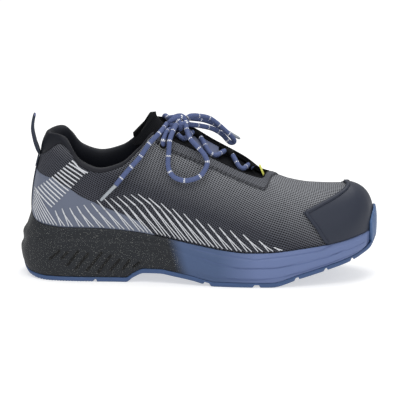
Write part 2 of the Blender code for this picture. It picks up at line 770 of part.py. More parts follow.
def tongue_section(station):
    """Points over the tongue's outer face, from its lateral to its medial edge."""
    depth = WALL + TONGUE_CLEAR
    other = mirrored(station)
    sunk = blend(TONGUE_BACK, TONGUE_SUNK, station)
    tucks = [-TONGUE_TUCK * share for share in (1.0, 0.6, TONGUE_SINK * sunk)]
    lateral = [edge_point(station, tuck, depth) for tuck in tucks]
    medial = [edge_point(other, tuck, depth) for tuck in reversed(tucks)]
    width = (medial[0] - lateral[-1]).length
    crown = TONGUE_CROWN * (1 - sunk) * blend(0, TONGUE_WIDE, width)
    middle = []
    for share in (0.25, 0.5, 0.75):
        point = lateral[-1].lerp(medial[0], share)
        point.z += crown * (1 - (2 * share - 1) ** 2)
        middle.append(point)
    return lateral + middle + medial


def add_tongue():
    """Padded tongue, tucked under both sides of the throat and standing above it."""
    middle = tongue_section(TONGUE_BACK)[4]
    sections = []
    for row in TONGUE_TOP:
        points = []
        for index in range(9):
            share = index / 4 - 1
            forward = (row.forward - row.back * share**2) * TONGUE_RISE
            up = (row.up - row.down * share**2) * TONGUE_RISE
            side = row.half * TONGUE_HALF * math.sin(share * math.pi / 2)
            points.append(middle + Vector((forward, side, up)))
        sections.append(points)
    for station in stations(TONGUE_BACK, TONGUE_FRONT, 0.4):
        sections.append(tongue_section(station))
    tongue = loft("tongue", sections, TONGUE_CLOTH, closed_section=False)
    return thicken(tongue, TONGUE)


def patch_limits(rows, away):
    """Lower and upper limits of an overlay at a distance from its middle."""
    for near, far in zip(rows, rows[1:]):
        if away <= far.away:
            share = (away - near.away) / (far.away - near.away)
            return (near.low + (far.low - near.low) * share, near.high + (far.high - near.high) * share)
    return rows[-1].low, rows[-1].high


def patch_section(station, limits, lanes, outside):
    """Points of an overlay's outer face at one station."""
    low, high = limits
    return [shell_point(station, low + (high - low) * lane / lanes, -outside) for lane in range(lanes + 1)]


def add_overlay(name, centre, rows, step, lanes, material):
    """A film on the upper, worked out from the upper's own skin on both sides of a middle station."""
    reach = rows[-1].away
    sections = []
    for station in stations(centre - reach, centre + reach, step):
        limits = patch_limits(rows, abs(station - centre))
        sections.append(patch_section(station, limits, lanes, FILM_CLEAR + FILM))
    return thicken(loft(name, sections, material, closed_section=False), FILM)


def add_eyestay():
    """Reinforced edge that runs down one side of the throat, round its end and up the other side."""
    halves = []
    for station in stations(EYESTAY_ROWS[0].away, EYESTAY_ROWS[-1].away, STATION_STEP):
        halves.append((station, patch_limits(EYESTAY_ROWS, station)))
    sections = [patch_section(station, limits, 4, FILM_CLEAR + EYESTAY) for station, limits in halves]
    for station, limits in reversed(halves):
        sections.append(patch_section(mirrored(station), limits, 4, FILM_CLEAR + EYESTAY))
    return thicken(loft("eyestay", sections, BINDING, closed_section=False), EYESTAY)


def cuff_section(station):
    """The cuff's outline: outer face, round top, padded inner face, and its back against the upper."""
    height = section(station).cuff
    away = abs(station)
    pad = PAD + (PAD_END - PAD) * blend(0.6 * CUFF_END, CUFF_END, away)
    swell = CUFF_SWELL * blend(CUFF_LOW, CUFF_HIGH, height)
    inner = WALL + PAD_CLEAR
    outline = (
        (CUFF_SEAT, 0.0),
        (0.5 * height, -swell),
        (0.85 * height, GAP),
        (height, 0.5 * WALL),
        (height, WALL + 0.25 * pad),
        (0.7 * height, WALL + 0.75 * pad),
        (-0.15 * PAD_DEPTH, WALL + pad),
        (-0.55 * PAD_DEPTH, WALL + 0.95 * pad),
        (-0.9 * PAD_DEPTH, WALL + 0.6 * pad),
        (-PAD_DEPTH, inner + GAP),
        (-0.9 * PAD_DEPTH, inner),
        (-0.5 * PAD_DEPTH, inner),
        (CUFF_SEAT, inner),
    )
    return [edge_point(station, up, depth) for up, depth in outline]


def add_collar():
    """Padded cuff round the opening, with the smooth patch that stands above the heel."""
    sections = [cuff_section(station) for station in stations(-CUFF_END, CUFF_END, STATION_STEP)]
    collar = loft("collar", sections, SATIN, closed_section=True)
    close_ends(collar)
    return collar


def smooth_route(points, steps):
    """A smooth line through points, with as many steps between two of them."""
    places = [Vector(point) for point in points]
    ahead = [places[0] * 2 - places[1], *places, places[-1] * 2 - places[-2]]
    route = []
    for index in range(len(places) - 1):
        before, start, end, after = ahead[index : index + 4]
        for step in range(steps):
            share = step / steps
            bend = (end - before) * share + (before * 2 - start * 5 + end * 4 - after) * share**2
            bend += (start * 3 - before - end * 3 + after) * share**3
            route.append(start + bend / 2)
    route.append(places[-1])
    return route


def add_pull_loop():
    """Ribbon stitched to the heel's back and folded into a narrow upright loop."""
    top = edge_point(0, 0, 0)
    out = GAP + RIBBON / 2
    tab = [edge_point(0, -RIBBON_TAB * share, -out) for share in (1.0, 0.5, 0.0)]
    free = [top + Vector((forward, 0, up)) * LOOP_HEIGHT for forward, up in PULL_LOOP]
    half = Vector((0, RIBBON_WIDTH / 2, 0))
    sections = [(place - half, place + half) for place in smooth_route(tab + free, 2)]
    loop = loft("pull_loop", sections, RIBBON_CLOTH, closed_section=False)
    thicken(loop, RIBBON).modifiers["thickness"].offset = 0
    return loop


def add_tube(name, route, radius, material):
    """A cord of round section along a route, with closed ends."""
    curve = bpy.data.curves.new(name, "CURVE")
    curve.dimensions = "3D"
    curve.bevel_depth = radius
    curve.bevel_resolution = 2
    curve.use_fill_caps = True
    spline = curve.splines.new("POLY")
    spline.points.add(len(route) - 1)
    for point, place in zip(spline.points, route):
        point.co = (*place, 1)
    return add_object(name, curve, material)


def over_tongue(station, inwards):
    """A place for a lace above the tongue, at a distance inwards from the throat's side."""
    points = tongue_section(min(station, mirrored(station)))
    side, other = (points[2], points[6]) if station < TOE_ROW else (points[6], points[2])
    place = side + (other - side).normalized() * inwards
    return place + Vector((0, 0, LACE + 2 * LACE_CLEAR))


def add_lace_bars():
    """The lace's bars over the tongue, one line that turns inside each side of the throat."""
    points = []
    for number, station in enumerate(BAR_STATIONS):
        for ahead, inwards in BAR_TURN:
            here = station + ahead
            points.append(over_tongue(here if number % 2 == 0 else mirrored(here), inwards))
    return add_tube("lace_bars", smooth_route(points, 2), LACE, CORD)


def take_active(name, material):
    """Names the piece just made by an operator and moves it to the shoe's collection."""
    piece = bpy.context.object
    piece.name = name
    piece.data.name = name
    piece.data.materials.append(material)
    piece.data.shade_smooth()
    for collection in piece.users_collection:
        collection.objects.unlink(piece)
    SHOE.objects.link(piece)
    return piece


def add_eyelets():
    """A metal ring near the top of each side of the eyestay."""
    for name, station in (("eyelet_lateral", EYELET_STATION), ("eyelet_medial", mirrored(EYELET_STATION))):
        share = 1 - EYELET_DROP / section_length(station)
        normal = skin_normal(station, share)
        outside = FILM_CLEAR + EYESTAY + GAP + EYELET_WIRE
        bpy.ops.mesh.primitive_torus_add(
            major_radius=EYELET,
            minor_radius=EYELET_WIRE,
            major_segments=12,
            minor_segments=6,
            location=shell_point(station, share, -outside),
            rotation=normal.to_track_quat("Z", "Y").to_euler(),
        )
        take_active(name, STEEL)


def add_throat_tag():
    """Small tag that stands at the throat's end, seated on the tongue."""
    foot = tongue_section(TAG_STATION)[4]
    tilt = math.radians(TAG_TILT)
    thickness, _, height = TAG_SIZE
    rise = TAG_CLEAR + (thickness * math.sin(tilt) + height * math.cos(tilt)) / 2
    bpy.ops.mesh.primitive_cube_add(size=1, location=foot + Vector((0, 0, rise)), rotation=(0, -tilt, 0))
    tag = take_active("throat_tag", TAG_YELLOW)
    tag.scale = TAG_SIZE
    return tag


def add_lace():
    """The bow over the knot and the two ends with their tips."""
    bpy.ops.mesh.primitive_uv_sphere_add(segments=12, ring_count=8, radius=1)
    knot = take_active("lace_knot", CORD)
    knot.location = [value * MM for value in KNOT_CENTRE]
    knot.scale = [value * MM for value in KNOT_HALVES]
    routes = (
        ("lace_loop_lateral", LOOP_LATERAL),
        ("lace_loop_medial", LOOP_MEDIAL),
        ("lace_end_lateral", END_LATERAL),
        ("lace_end_medial", END_MEDIAL),
    )
    for name, points in routes:
        route = [place * MM for place in smooth_route(points, 1)]
        add_tube(name, route, LACE, CORD)
    for name, ends in (("lace_tip_lateral", TIP_LATERAL), ("lace_tip_medial", TIP_MEDIAL)):
        start, end = (Vector(place) * MM for place in ends)
        bpy.ops.mesh.primitive_cylinder_add(
            vertices=10,
            radius=TIP,
            depth=(end - start).length,
            location=(start + end) / 2,
            rotation=(end - start).to_track_quat("Z", "Y").to_euler(),
        )
        take_active(name, CLEAR_TIP)


for leftover in list(bpy.data.objects):
    bpy.data.objects.remove(leftover)
SHOE = new_collection("safety_sneaker")
CUTTERS = new_collection("cutters")

KNIT = finish("knit", (0.045, 0.048, 0.055), 0.85)
FOAM = finish("foam", (0.03, 0.032, 0.036), 0.6)
RUBBER_BLUE = finish("rubber", (0.05, 0.12, 0.30), 0.5)
INSOLE_CLOTH = finish("insole_cloth", (0.02, 0.02, 0.025), 0.9)
TONGUE_CLOTH = finish("tongue_cloth", (0.015, 0.016, 0.02), 0.8)
FILM_NAVY = finish("film_navy", (0.034, 0.041, 0.067), 0.5)
FILM_SLATE = finish("film_slate", (0.13, 0.15, 0.20), 0.5)
BINDING = finish("binding", (0.05, 0.052, 0.06), 0.8)
SATIN = finish("satin", (0.01, 0.012, 0.02), 0.45)
RIBBON_CLOTH = finish("ribbon", (0.045, 0.052, 0.08), 0.8)
CORD = finish("cord", (0.15, 0.18, 0.38), 0.75)
STEEL = finish("steel", (0.36, 0.37, 0.34), 0.3, 1.0)
TAG_YELLOW = finish("tag", (0.78, 0.79, 0.16), 0.7)
CLEAR_TIP = finish("clear_tip", (0.27, 0.30, 0.33), 0.2)

add_outsole()
add_midsole()
add_insole()
add_upper()
add_tongue()
add_overlay("toe_cap", TOE_ROW, TOE_CAP, step=0.35, lanes=6, material=FILM_NAVY)
add_overlay("heel_panel", 0, HEEL_PANEL, step=0.5, lanes=4, material=FILM_SLATE)
add_eyestay()
add_collar()
add_pull_loop()
add_eyelets()
add_lace_bars()
add_throat_tag()
add_lace()
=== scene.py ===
import math
from collections import namedtuple
from functools import lru_cache

import bmesh
import bpy
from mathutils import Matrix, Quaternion, Vector


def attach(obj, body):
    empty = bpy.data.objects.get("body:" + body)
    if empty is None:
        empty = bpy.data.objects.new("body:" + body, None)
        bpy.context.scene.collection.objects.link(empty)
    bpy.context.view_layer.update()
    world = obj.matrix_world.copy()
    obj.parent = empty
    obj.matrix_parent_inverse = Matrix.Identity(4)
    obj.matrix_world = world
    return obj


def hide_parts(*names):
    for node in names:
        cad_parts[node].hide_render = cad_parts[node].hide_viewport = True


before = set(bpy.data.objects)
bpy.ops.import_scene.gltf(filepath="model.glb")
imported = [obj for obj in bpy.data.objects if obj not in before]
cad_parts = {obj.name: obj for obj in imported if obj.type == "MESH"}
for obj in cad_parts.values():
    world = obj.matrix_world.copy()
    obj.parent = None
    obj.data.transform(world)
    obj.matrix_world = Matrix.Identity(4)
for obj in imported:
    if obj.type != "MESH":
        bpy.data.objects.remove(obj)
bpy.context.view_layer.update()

# Camera: it stands off the shoe's outer side, a little above the collar, with a long lens, as in the
# photograph, and it is rolled by the little that the photograph's floor line falls to the right.
MM = 0.001
PICTURE_WIDTH = 340.0 * MM
CAMERA_DISTANCE = 3.0
CAMERA_HEIGHT_ANGLE = math.radians(12)
CAMERA_ROLL = math.radians(0.74)
LOOK_AT = Vector((0.3, 0.0, 63.9)) * MM
SENSOR = 36.0

camera = bpy.data.objects.new("camera", bpy.data.cameras.new("camera"))
bpy.context.scene.collection.objects.link(camera)
bpy.context.scene.camera = camera
toward_camera = Vector((0, -math.cos(CAMERA_HEIGHT_ANGLE), math.sin(CAMERA_HEIGHT_ANGLE)))
camera.location = LOOK_AT + toward_camera * CAMERA_DISTANCE
camera.rotation_mode = "QUATERNION"
camera.rotation_quaternion = toward_camera.to_track_quat("Z", "Y") @ Quaternion((0, 0, 1), CAMERA_ROLL)
camera.data.sensor_width = SENSOR
camera.data.lens = SENSOR * CAMERA_DISTANCE / PICTURE_WIDTH
camera.data.clip_end = 30.0

# Studio: a white sweep of paper under the shoe, with a large soft light over its outer side and a fainter
# one over the other side.
FLOOR_HALF = 7.0
PAPER_WHITE = (0.55, 0.55, 0.55)
PAPER_GLOW = 0.55
SKY = 0.62


class Tone:
    """A socket of the finish being made. Sums and products of tones add Math nodes."""

    def __init__(self, tree, socket=None):
        self.tree = tree
        self.socket = socket

    def node(self, kind, settings=None, sockets=None, out=0):
        """Adds a node: its settings first, then the values or tones of its inputs."""
        made = self.tree.nodes.new(kind)
        for key, value in (settings or {}).items():
            setattr(made, key, value)
        for key, value in (sockets or {}).items():
            if isinstance(value, Tone):
                self.tree.links.new(value.socket, made.inputs[key])
            else:
                made.inputs[key].default_value = value
        return Tone(self.tree, made.outputs[out])

    def maths(self, operation, *others, clamp=False):
        settings = {"operation": operation, "use_clamp": clamp}
        return self.node("ShaderNodeMath", settings, dict(enumerate((self, *others))))

    def __add__(self, other):
        return self.maths("ADD", other)

    def __mul__(self, other):
        return self.maths("MULTIPLY", other)

    def __sub__(self, other):
        return self.maths("SUBTRACT", other)

    def __rsub__(self, other):
        return (self * -1) + other

    def __truediv__(self, other):
        return self.maths("DIVIDE", other)

    def below(self, limit, soft):
        """1 where this tone is under a limit, 0 above it, over a soft width."""
        return ((limit + soft / 2) - self).maths("DIVIDE", soft, clamp=True)

    def wave(self, period):
        """Distance from the nearest multiple of a period, 0 to 0.5, in periods."""
        return self.maths("DIVIDE", period).maths("PINGPONG", 0.5)

    def facing_ahead(self):
        """1 where a direction points towards the toe."""
        return 1.0 - self.node("ShaderNodeSeparateXYZ", None, {0: self}).below(0.25, 0.2)

    def clamped(self):
        return self.maths("ADD", 0.0, clamp=True)

    def mixed(self, first, second):
        """Colour that goes from the first to the second as this tone goes from 0 to 1."""
        return self.node(
            "ShaderNodeMix",
            {"data_type": "RGBA", "clamp_factor": True},
            {0: self, 6: paint(first), 7: paint(second)},
            out=2,
        )


def paint(colour):
    return colour if isinstance(colour, Tone) else (*colour, 1.0)


def shade(code):
    """A colour of the shader from the usual six hexadecimal digits."""
    values = (int(code[start : start + 2], 16) / 255 for start in (0, 2, 4))
    return tuple(value / 12.92 if value < 0.04045 else ((value + 0.055) / 1.055) ** 2.4 for value in values)


class Finish:
    """A material with its shader, its tones and its bump."""

    def __init__(self, name, roughness, metallic=0.0, **constants):
        self.material = bpy.data.materials.new(name)
        self.material.use_nodes = True
        self.tree = self.material.node_tree
        self.shader = self.tree.nodes["Principled BSDF"]
        self.start = Tone(self.tree)
        self.set("Roughness", roughness)
        self.set("Metallic", metallic)
        for key, value in constants.items():
            self.set(key.replace("_", " "), value)

    def set(self, name, value):
        if isinstance(value, Tone):
            self.tree.links.new(value.socket, self.shader.inputs[name])
        elif isinstance(value, tuple) and len(value) == 3 and name in ("Base Color", "Sheen Tint"):
            self.shader.inputs[name].default_value = (*value, 1.0)
        else:
            self.shader.inputs[name].default_value = value

    def place(self):
        """X, Y and Z over the shoe, in millimetres."""
        spot = self.start.node("ShaderNodeTexCoord", out=3)
        return self.split(spot)

    def cloth(self):
        """Along and across the piece's own surface, in millimetres."""
        spot = self.start.node("ShaderNodeUVMap", {"uv_map": "cloth"})
        return self.split(spot)

    def split(self, spot):
        parts = [spot.node("ShaderNodeSeparateXYZ", None, {0: spot}, out=axis) for axis in range(3)]
        return [part * 1000.0 for part in parts]

    def noise(self, scale, detail):
        return self.start.node("ShaderNodeTexNoise", None, {"Scale": scale, "Detail": detail})

    def bump(self, height, depth, strength=1.0):
        """Raises the surface by a depth in metres where height is 1."""
        sockets = {"Strength": strength, "Distance": depth, "Height": height}
        self.set("Normal", self.start.node("ShaderNodeBump", None, sockets))


paper = Finish("paper", 0.9)
paper.set("Base Color", PAPER_WHITE)
paper.set("Emission Color", (1.0, 1.0, 1.0, 1.0))
paper.set("Emission Strength", PAPER_GLOW)
work = bmesh.new()
bmesh.ops.create_grid(work, x_segments=1, y_segments=1, size=FLOOR_HALF)
floor_mesh = bpy.data.meshes.new("floor")
work.to_mesh(floor_mesh)
work.free()
floor_mesh.materials.append(paper.material)
floor = bpy.data.objects.new("floor", floor_mesh)
bpy.context.scene.collection.objects.link(floor)

world = bpy.data.worlds.new("studio")
bpy.context.scene.world = world
world.use_nodes = True
world.node_tree.nodes["Background"].inputs["Color"].default_value = (1, 1, 1, 1)
world.node_tree.nodes["Background"].inputs["Strength"].default_value = SKY
bpy.context.scene.view_settings.view_transform = "Standard"

Light = namedtuple("Light", "name place size power")
for light in (
    Light("key", (-0.25, -0.9, 1.6), 0.9, 12.0),
    Light("fill", (0.9, -0.9, 0.7), 0.8, 2.0),
    Light("top", (0.25, 0.5, 1.7), 1.0, 12.0),
):
    lamp = bpy.data.lights.new(light.name, "AREA")
    lamp.size = light.size
    lamp.energy = light.power
    lamp_object = bpy.data.objects.new(light.name, lamp)
    bpy.context.scene.collection.objects.link(lamp_object)
    lamp_object.location = light.place
    lamp_object.rotation_mode = "QUATERNION"
    lamp_object.rotation_quaternion = Vector(light.place).to_track_quat("Z", "Y")

# Last: the wooden form that the upper is pulled over. It gives every curved piece its place: a station goes
# round the shoe from the heel (0) over the outer side to the toe (20) and back on the inner side (40), and a
# share goes up the upper's skin from its lower edge (0) to its top edge or ridge (1).
LENGTH = 303.0 * MM
BALL = 108.0 * MM
HEEL = 78.0 * MM
SOLE_HEIGHT = 46.0 * MM
UPPER_HEIGHT = 77.0 * MM
RIM_STEP = 4.5 * MM
GAP = 0.3 * MM
Row = namedtuple(
    "Row",
    "along width lateral medial feather step top_along top_side top_mid top_rise lift "
    "facing lean rise reach drop cuff",
)
SECTIONS = (
    Row(0, HEEL, 0, 0, 1.23, 2.1, 0.052, 0, 0, 0.74, 0, 0, 0.006, 0.21, 0.05, 0.21, 0.26),
    Row(0.010, HEEL, 0.212, 0.212, 1.15, 1.9, 0.061, 0.141, 0, 0.76, 0, 28, 0.010, 0.21, 0.05, 0.22, 0.24),
    Row(0.035, HEEL, 0.353, 0.353, 1.06, 1.5, 0.083, 0.256, 0, 0.83, 0, 50, 0.019, 0.22, 0.05, 0.23, 0.18),
    Row(0.076, HEEL, 0.455, 0.449, 1.02, 1.2, 0.111, 0.333, 0, 0.91, 0, 72, 0.026, 0.23, 0.04, 0.26, 0.09),
    Row(0.132, HEEL, 0.497, 0.487, 1.0, 1.0, 0.137, 0.385, 0, 0.84, 0.01, 86, 0.032, 0.23, 0.03, 0.23, 0.07),
    Row(0.191, HEEL, 0.503, 0.487, 1.0, 1.0, 0.168, 0.410, 0, 0.68, 0.04, 90, 0.032, 0.21, 0.01, 0.19, 0.06),
    Row(0.257, HEEL, 0.497, 0.474, 0.98, 1.0, 0.221, 0.436, 0, 0.615, 0.05, 90, 0.032, 0.19, 0, 0.19, 0.045),
    Row(0.323, HEEL, 0.510, 0.462, 0.94, 1.0, 0.281, 0.423, 0, 0.68, 0.05, 90, 0.032, 0.22, 0.01, 0.22, 0.04),
    Row(0.383, HEEL, 0.545, 0.465, 0.885, 1.0, 0.333, 0.385, 0, 0.865, 0.04, 90, 0.032, 0.29, 0.04, 0.29, 0.035),
    Row(0.442, BALL, 0.428, 0.356, 0.81, 1.0, 0.376, 0.245, 0, 1.03, 0.06, 90, 0.019, 0.36, 0.065, 0.35, 0.03),
    Row(0.502, BALL, 0.461, 0.389, 0.74, 1.0, 0.449, 0.222, 0, 0.92, 0.11, 90, 0.019, 0.36, 0.083, 0.29, 0),
    Row(0.568, BALL, 0.489, 0.431, 0.67, 1.0, 0.538, 0.185, 0, 0.75, 0.10, 90, 0.019, 0.34, 0.11, 0.18, 0),
    Row(0.634, BALL, 0.500, 0.468, 0.63, 1.0, 0.624, 0.139, 0, 0.58, 0.10, 90, 0.019, 0.32, 0.13, 0.10, 0),
    Row(0.690, BALL, 0.495, 0.494, 0.635, 1.0, 0.674, 0.074, 0, 0.510, 0.05, 92, 0.019, 0.31, 0.17, 0.05, 0),
    Row(0.743, BALL, 0.479, 0.500, 0.665, 1.0, 0.694, 0, 0, 0.563, 0, 96, 0.019, 0.31, 0.20, 0.03, 0),
    Row(0.795, BALL, 0.449, 0.492, 0.705, 1.0, 0.746, 0, 0, 0.490, 0, 103, 0.019, 0.32, 0.21, 0.01, 0),
    Row(0.851, BALL, 0.401, 0.469, 0.745, 1.0, 0.802, 0, 0.014, 0.447, 0, 113, 0.019, 0.34, 0.20, 0, 0),
    Row(0.908, BALL, 0.330, 0.424, 0.805, 1.0, 0.858, 0, 0.028, 0.44, 0, 125, 0.019, 0.34, 0.17, 0, 0),
    Row(0.957, BALL, 0.222, 0.345, 0.87, 1.0, 0.898, 0, 0.046, 0.44, 0, 140, 0.019, 0.34, 0.16, 0, 0),
    Row(0.989, BALL, 0.083, 0.230, 0.915, 1.0, 0.898, 0, 0.046, 0.44, 0, 160, 0.014, 0.325, 0.17, 0, 0),
    Row(1.0, BALL, -0.074, 0.074, 0.925, 1.0, 0.898, 0, 0.046, 0.44, 0, 180, 0.014, 0.325, 0.18, 0, 0),
)
TOE = len(SECTIONS) - 1
RING = 2 * TOE
THROAT = 14
Place = namedtuple("Place", "outline feather step top facing lean rise reach drop cuff")


def monotone(before, start, end, after, share):
    """A cubic from start to end that never overshoots the rows it passes."""
    left, step, right = start - before, end - start, after - end
    leave = 2 * left * step / (left + step) if left * step > 0 else 0.0
    arrive = 2 * step * right / (step + right) if step * right > 0 else 0.0
    rest = 1 - share
    return (
        start * (1 + 2 * share) * rest**2
        + leave * share * rest**2
        + end * share**2 * (3 - 2 * share)
        - arrive * share**2 * rest
    )


def ring_row(index):
    """One row in metres, counted round the shoe."""
    lateral = index <= TOE
    row = SECTIONS[index if lateral else RING - index]
    side = -1 if lateral else 1
    rise = row.top_rise if lateral else row.top_rise + row.lift
    facing = math.radians(row.facing)
    return (
        (row.along - 0.5) * LENGTH,
        side * (row.lateral if lateral else row.medial) * row.width,
        row.feather * SOLE_HEIGHT,
        row.step * RIM_STEP,
        (row.top_along - 0.5) * LENGTH,
        (side * row.top_side + row.top_mid) * row.width,
        SOLE_HEIGHT + rise * UPPER_HEIGHT,
        -math.cos(facing),
        side * math.sin(facing),
        row.lean * row.width,
        row.rise * UPPER_HEIGHT,
        row.reach * row.width,
        row.drop * UPPER_HEIGHT,
        row.cuff * UPPER_HEIGHT,
    )


RING_ROWS = [ring_row(index) for index in range(RING)]


@lru_cache(maxsize=None)
def section(station):
    """The table at any station round the shoe."""
    start = math.floor(station)
    rows = [RING_ROWS[(start + offset) % RING] for offset in (-1, 0, 1, 2)]
    values = [monotone(*column, station - start) for column in zip(*rows)]
    return Place(
        Vector((values[0], values[1], 0)),
        values[2],
        values[3],
        Vector(values[4:7]),
        Vector((values[7], values[8], 0)).normalized(),
        *values[9:],
    )


@lru_cache(maxsize=None)
def skin_curve(station):
    """The four points that bend the skin's section."""
    at = section(station)
    foot = at.outline - at.facing * at.step + Vector((0, 0, at.feather + GAP))
    low = foot + at.facing * at.lean + Vector((0, 0, at.rise))
    high = at.top + at.facing * at.reach - Vector((0, 0, at.drop))
    return foot, low, high, at.top


def skin_point(station, share):
    foot, low, high, top = skin_curve(station)
    rest = 1 - share
    return foot * rest**3 + low * (3 * share * rest**2) + high * (3 * share**2 * rest) + top * share**3


def skin_normal(station, share):
    over = skin_point(station + 0.05, share) - skin_point(station - 0.05, share)
    up = skin_point(station, share + 0.01) - skin_point(station, share - 0.01)
    normal = over.cross(up)
    return normal.normalized() if normal.length > 1e-9 else Vector((0, 0, 1))


def on_skin(station, share, outside):
    """A point at a distance outside the skin, or inside it where that is negative."""
    normal = skin_normal(station, share)
    if share > 0.999 and THROAT <= station <= RING - THROAT:
        normal = (normal + skin_normal(RING - station, share)).normalized()
    return skin_point(station, share) + normal * outside


@lru_cache(maxsize=None)
def section_length(station):
    points = [skin_point(station, step / 12) for step in range(13)]
    return sum((far - near).length for near, far in zip(points, points[1:]))


def edge_point(station, up, outside):
    """A point near the upper's top edge: up goes above it along the skin, or below it where negative."""
    if up <= 0:
        return on_skin(station, 1 + up / section_length(station), outside)
    along = skin_point(station, 1.0) - skin_point(station, 0.96)
    return on_skin(station, 1.0, outside) + along.normalized() * up


# Lace: a round woven cord, blue grey with bands of white dots, tied in a bow. Its two ends carry clear tips.
# The routes are the solids' own, in millimetres.
LACE = 2.1 * MM
LACE_AROUND = 14
LACE_FINE = 6
MERGE = 0.01 * MM
LOOP_LATERAL = (
    (-20.5, -10.6, 131.0),
    (-22.5, -19.2, 128.6),
    (-25.6, -31.2, 122.0),
    (-26.3, -34.9, 113.2),
    (-26.8, -37.6, 101.0),
    (-23.9, -39.8, 94.0),
    (-19.0, -40.6, 90.5),
    (-11.0, -40.4, 89.0),
    (-1.5, -38.4, 91.5),
    (3.5, -36.2, 96.6),
    (6.0, -32.5, 102.8),
    (3.5, -30.0, 109.2),
    (-1.5, -27.8, 114.5),
    (-8.5, -21.5, 120.8),
    (-11.5, -13.0, 126.5),
    (-12.5, -8.0, 130.0),
)
LOOP_MEDIAL = (
    (-11.5, 1.5, 134.6),
    (-8.3, 3.6, 135.9),
    (-2.0, 10.0, 134.8),
    (6.3, 17.0, 132.0),
    (13.1, 21.5, 127.0),
    (21.2, 25.5, 119.2),
    (27.5, 28.5, 112.6),
    (28.8, 31.0, 108.6),
    (25.0, 31.5, 108.2),
    (18.2, 29.5, 115.5),
    (10.5, 25.0, 120.8),
    (1.2, 17.0, 124.6),
    (-7.5, 9.2, 127.2),
    (-12.9, 5.2, 128.6),
)
END_LATERAL = (
    (-28.6, -7.0, 130.8),
    (-30.5, -17.0, 129.8),
    (-34.5, -29.0, 127.0),
    (-43.0, -34.0, 118.5),
    (-50.3, -36.3, 107.8),
    (-59.2, -38.0, 97.8),
    (-66.9, -38.8, 88.6),
    (-70.4, -39.0, 84.0),
)
TIP_LATERAL = ((-70.6, -39.0, 83.7), (-83.2, -40.2, 70.8))
END_MEDIAL = (
    (-18.2, 7.6, 132.0),
    (-15.0, 12.0, 132.0),
    (-7.0, 18.4, 130.8),
    (3.0, 24.2, 128.4),
    (11.5, 29.5, 124.4),
    (17.5, 33.8, 120.0),
)
TIP_MEDIAL = ((17.8, 34.0, 119.8), (34.0, 39.0, 109.8))
TIP_PROFILE = ((0, 0.9), (0.02, 0.84), (0.06, 0.76), (0.5, 0.7), (0.9, 0.62), (0.97, 0.5), (1.0, 0.3))
BRAID = 1.5
BRAID_SLANT = 0.9
DOT_EVERY = 12.5
DOT_SPACE = 1.65

cord = Finish("lace", 0.8, Specular_IOR_Level=0.25)
along, round_it, _ = cord.cloth()
braid = (along + round_it * BRAID_SLANT).wave(BRAID) + (along - round_it * BRAID_SLANT).wave(BRAID)
band = along.wave(DOT_EVERY) * DOT_EVERY
dots = band.below(0.6, 0.2) * (round_it + along * 0.5).wave(DOT_SPACE).below(0.27, 0.08)
weave = braid.mixed(shade("2b3754"), shade("64759b"))
cloud = cord.noise(90.0, 2.0)
tint = cloud.maths("MULTIPLY", 0.5).mixed(weave, shade("54578a"))
cord.set("Base Color", dots.mixed(tint, shade("eef0f4")))
cord.bump(braid + dots, 0.25 * MM, 0.6)

clear_tip = Finish("clear_tip", 0.25, Coat_Weight=0.4)
tip_cloud = clear_tip.noise(260.0, 3.0)
clear_tip.set("Base Color", tip_cloud.mixed(shade("6c737c"), shade("b4bac0")))


def smooth_route(points, fine):
    """A smooth line through points, with as many steps between two of them."""
    places = [Vector(point) for point in points]
    ahead = [places[0] * 2 - places[1], *places, places[-1] * 2 - places[-2]]
    route = []
    for index in range(len(places) - 1):
        before, start, end, after = ahead[index : index + 4]
        for step in range(fine):
            share = step / fine
            bend = (end - before) * share + (before * 2 - start * 5 + end * 4 - after) * share**2
            bend += (start * 3 - before - end * 3 + after) * share**3
            route.append(start + bend / 2)
    route.append(places[-1])
    return route


def tube_lines(route, radius, around):
    """Rings of points round a route."""
    lines = []
    side = None
    for index, place in enumerate(route):
        ahead = route[min(index + 1, len(route) - 1)] - route[max(index - 1, 0)]
        ahead = ahead.normalized()
        if side is None:
            side = ahead.cross(Vector((0, 0, 1))).normalized()
        side = (side - ahead * side.dot(ahead)).normalized()
        up = side.cross(ahead)
        ring = []
        for step in range(around + 1):
            angle = 2 * math.pi * step / around
            ring.append(place + side * (radius * math.cos(angle)) + up * (radius * math.sin(angle)))
        lines.append(ring)
    return lines


def make_piece(name, work, finish, thickness=0.0, rides=True, lining=None):
    """Turns a bmesh into a piece of the shoe."""
    mesh = bpy.data.meshes.new(name)
    work.to_mesh(mesh)
    work.free()
    mesh.shade_smooth()
    mesh.materials.append(finish.material)
    piece = bpy.data.objects.new(name, mesh)
    bpy.context.scene.collection.objects.link(piece)
    if thickness:
        solid = piece.modifiers.new("thickness", "SOLIDIFY")
        solid.thickness = thickness
        solid.offset = -1
        if lining:
            mesh.materials.append(lining.material)
            solid.material_offset = 1
            solid.material_offset_rim = 1
    if rides:
        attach(piece, "root")
    return piece


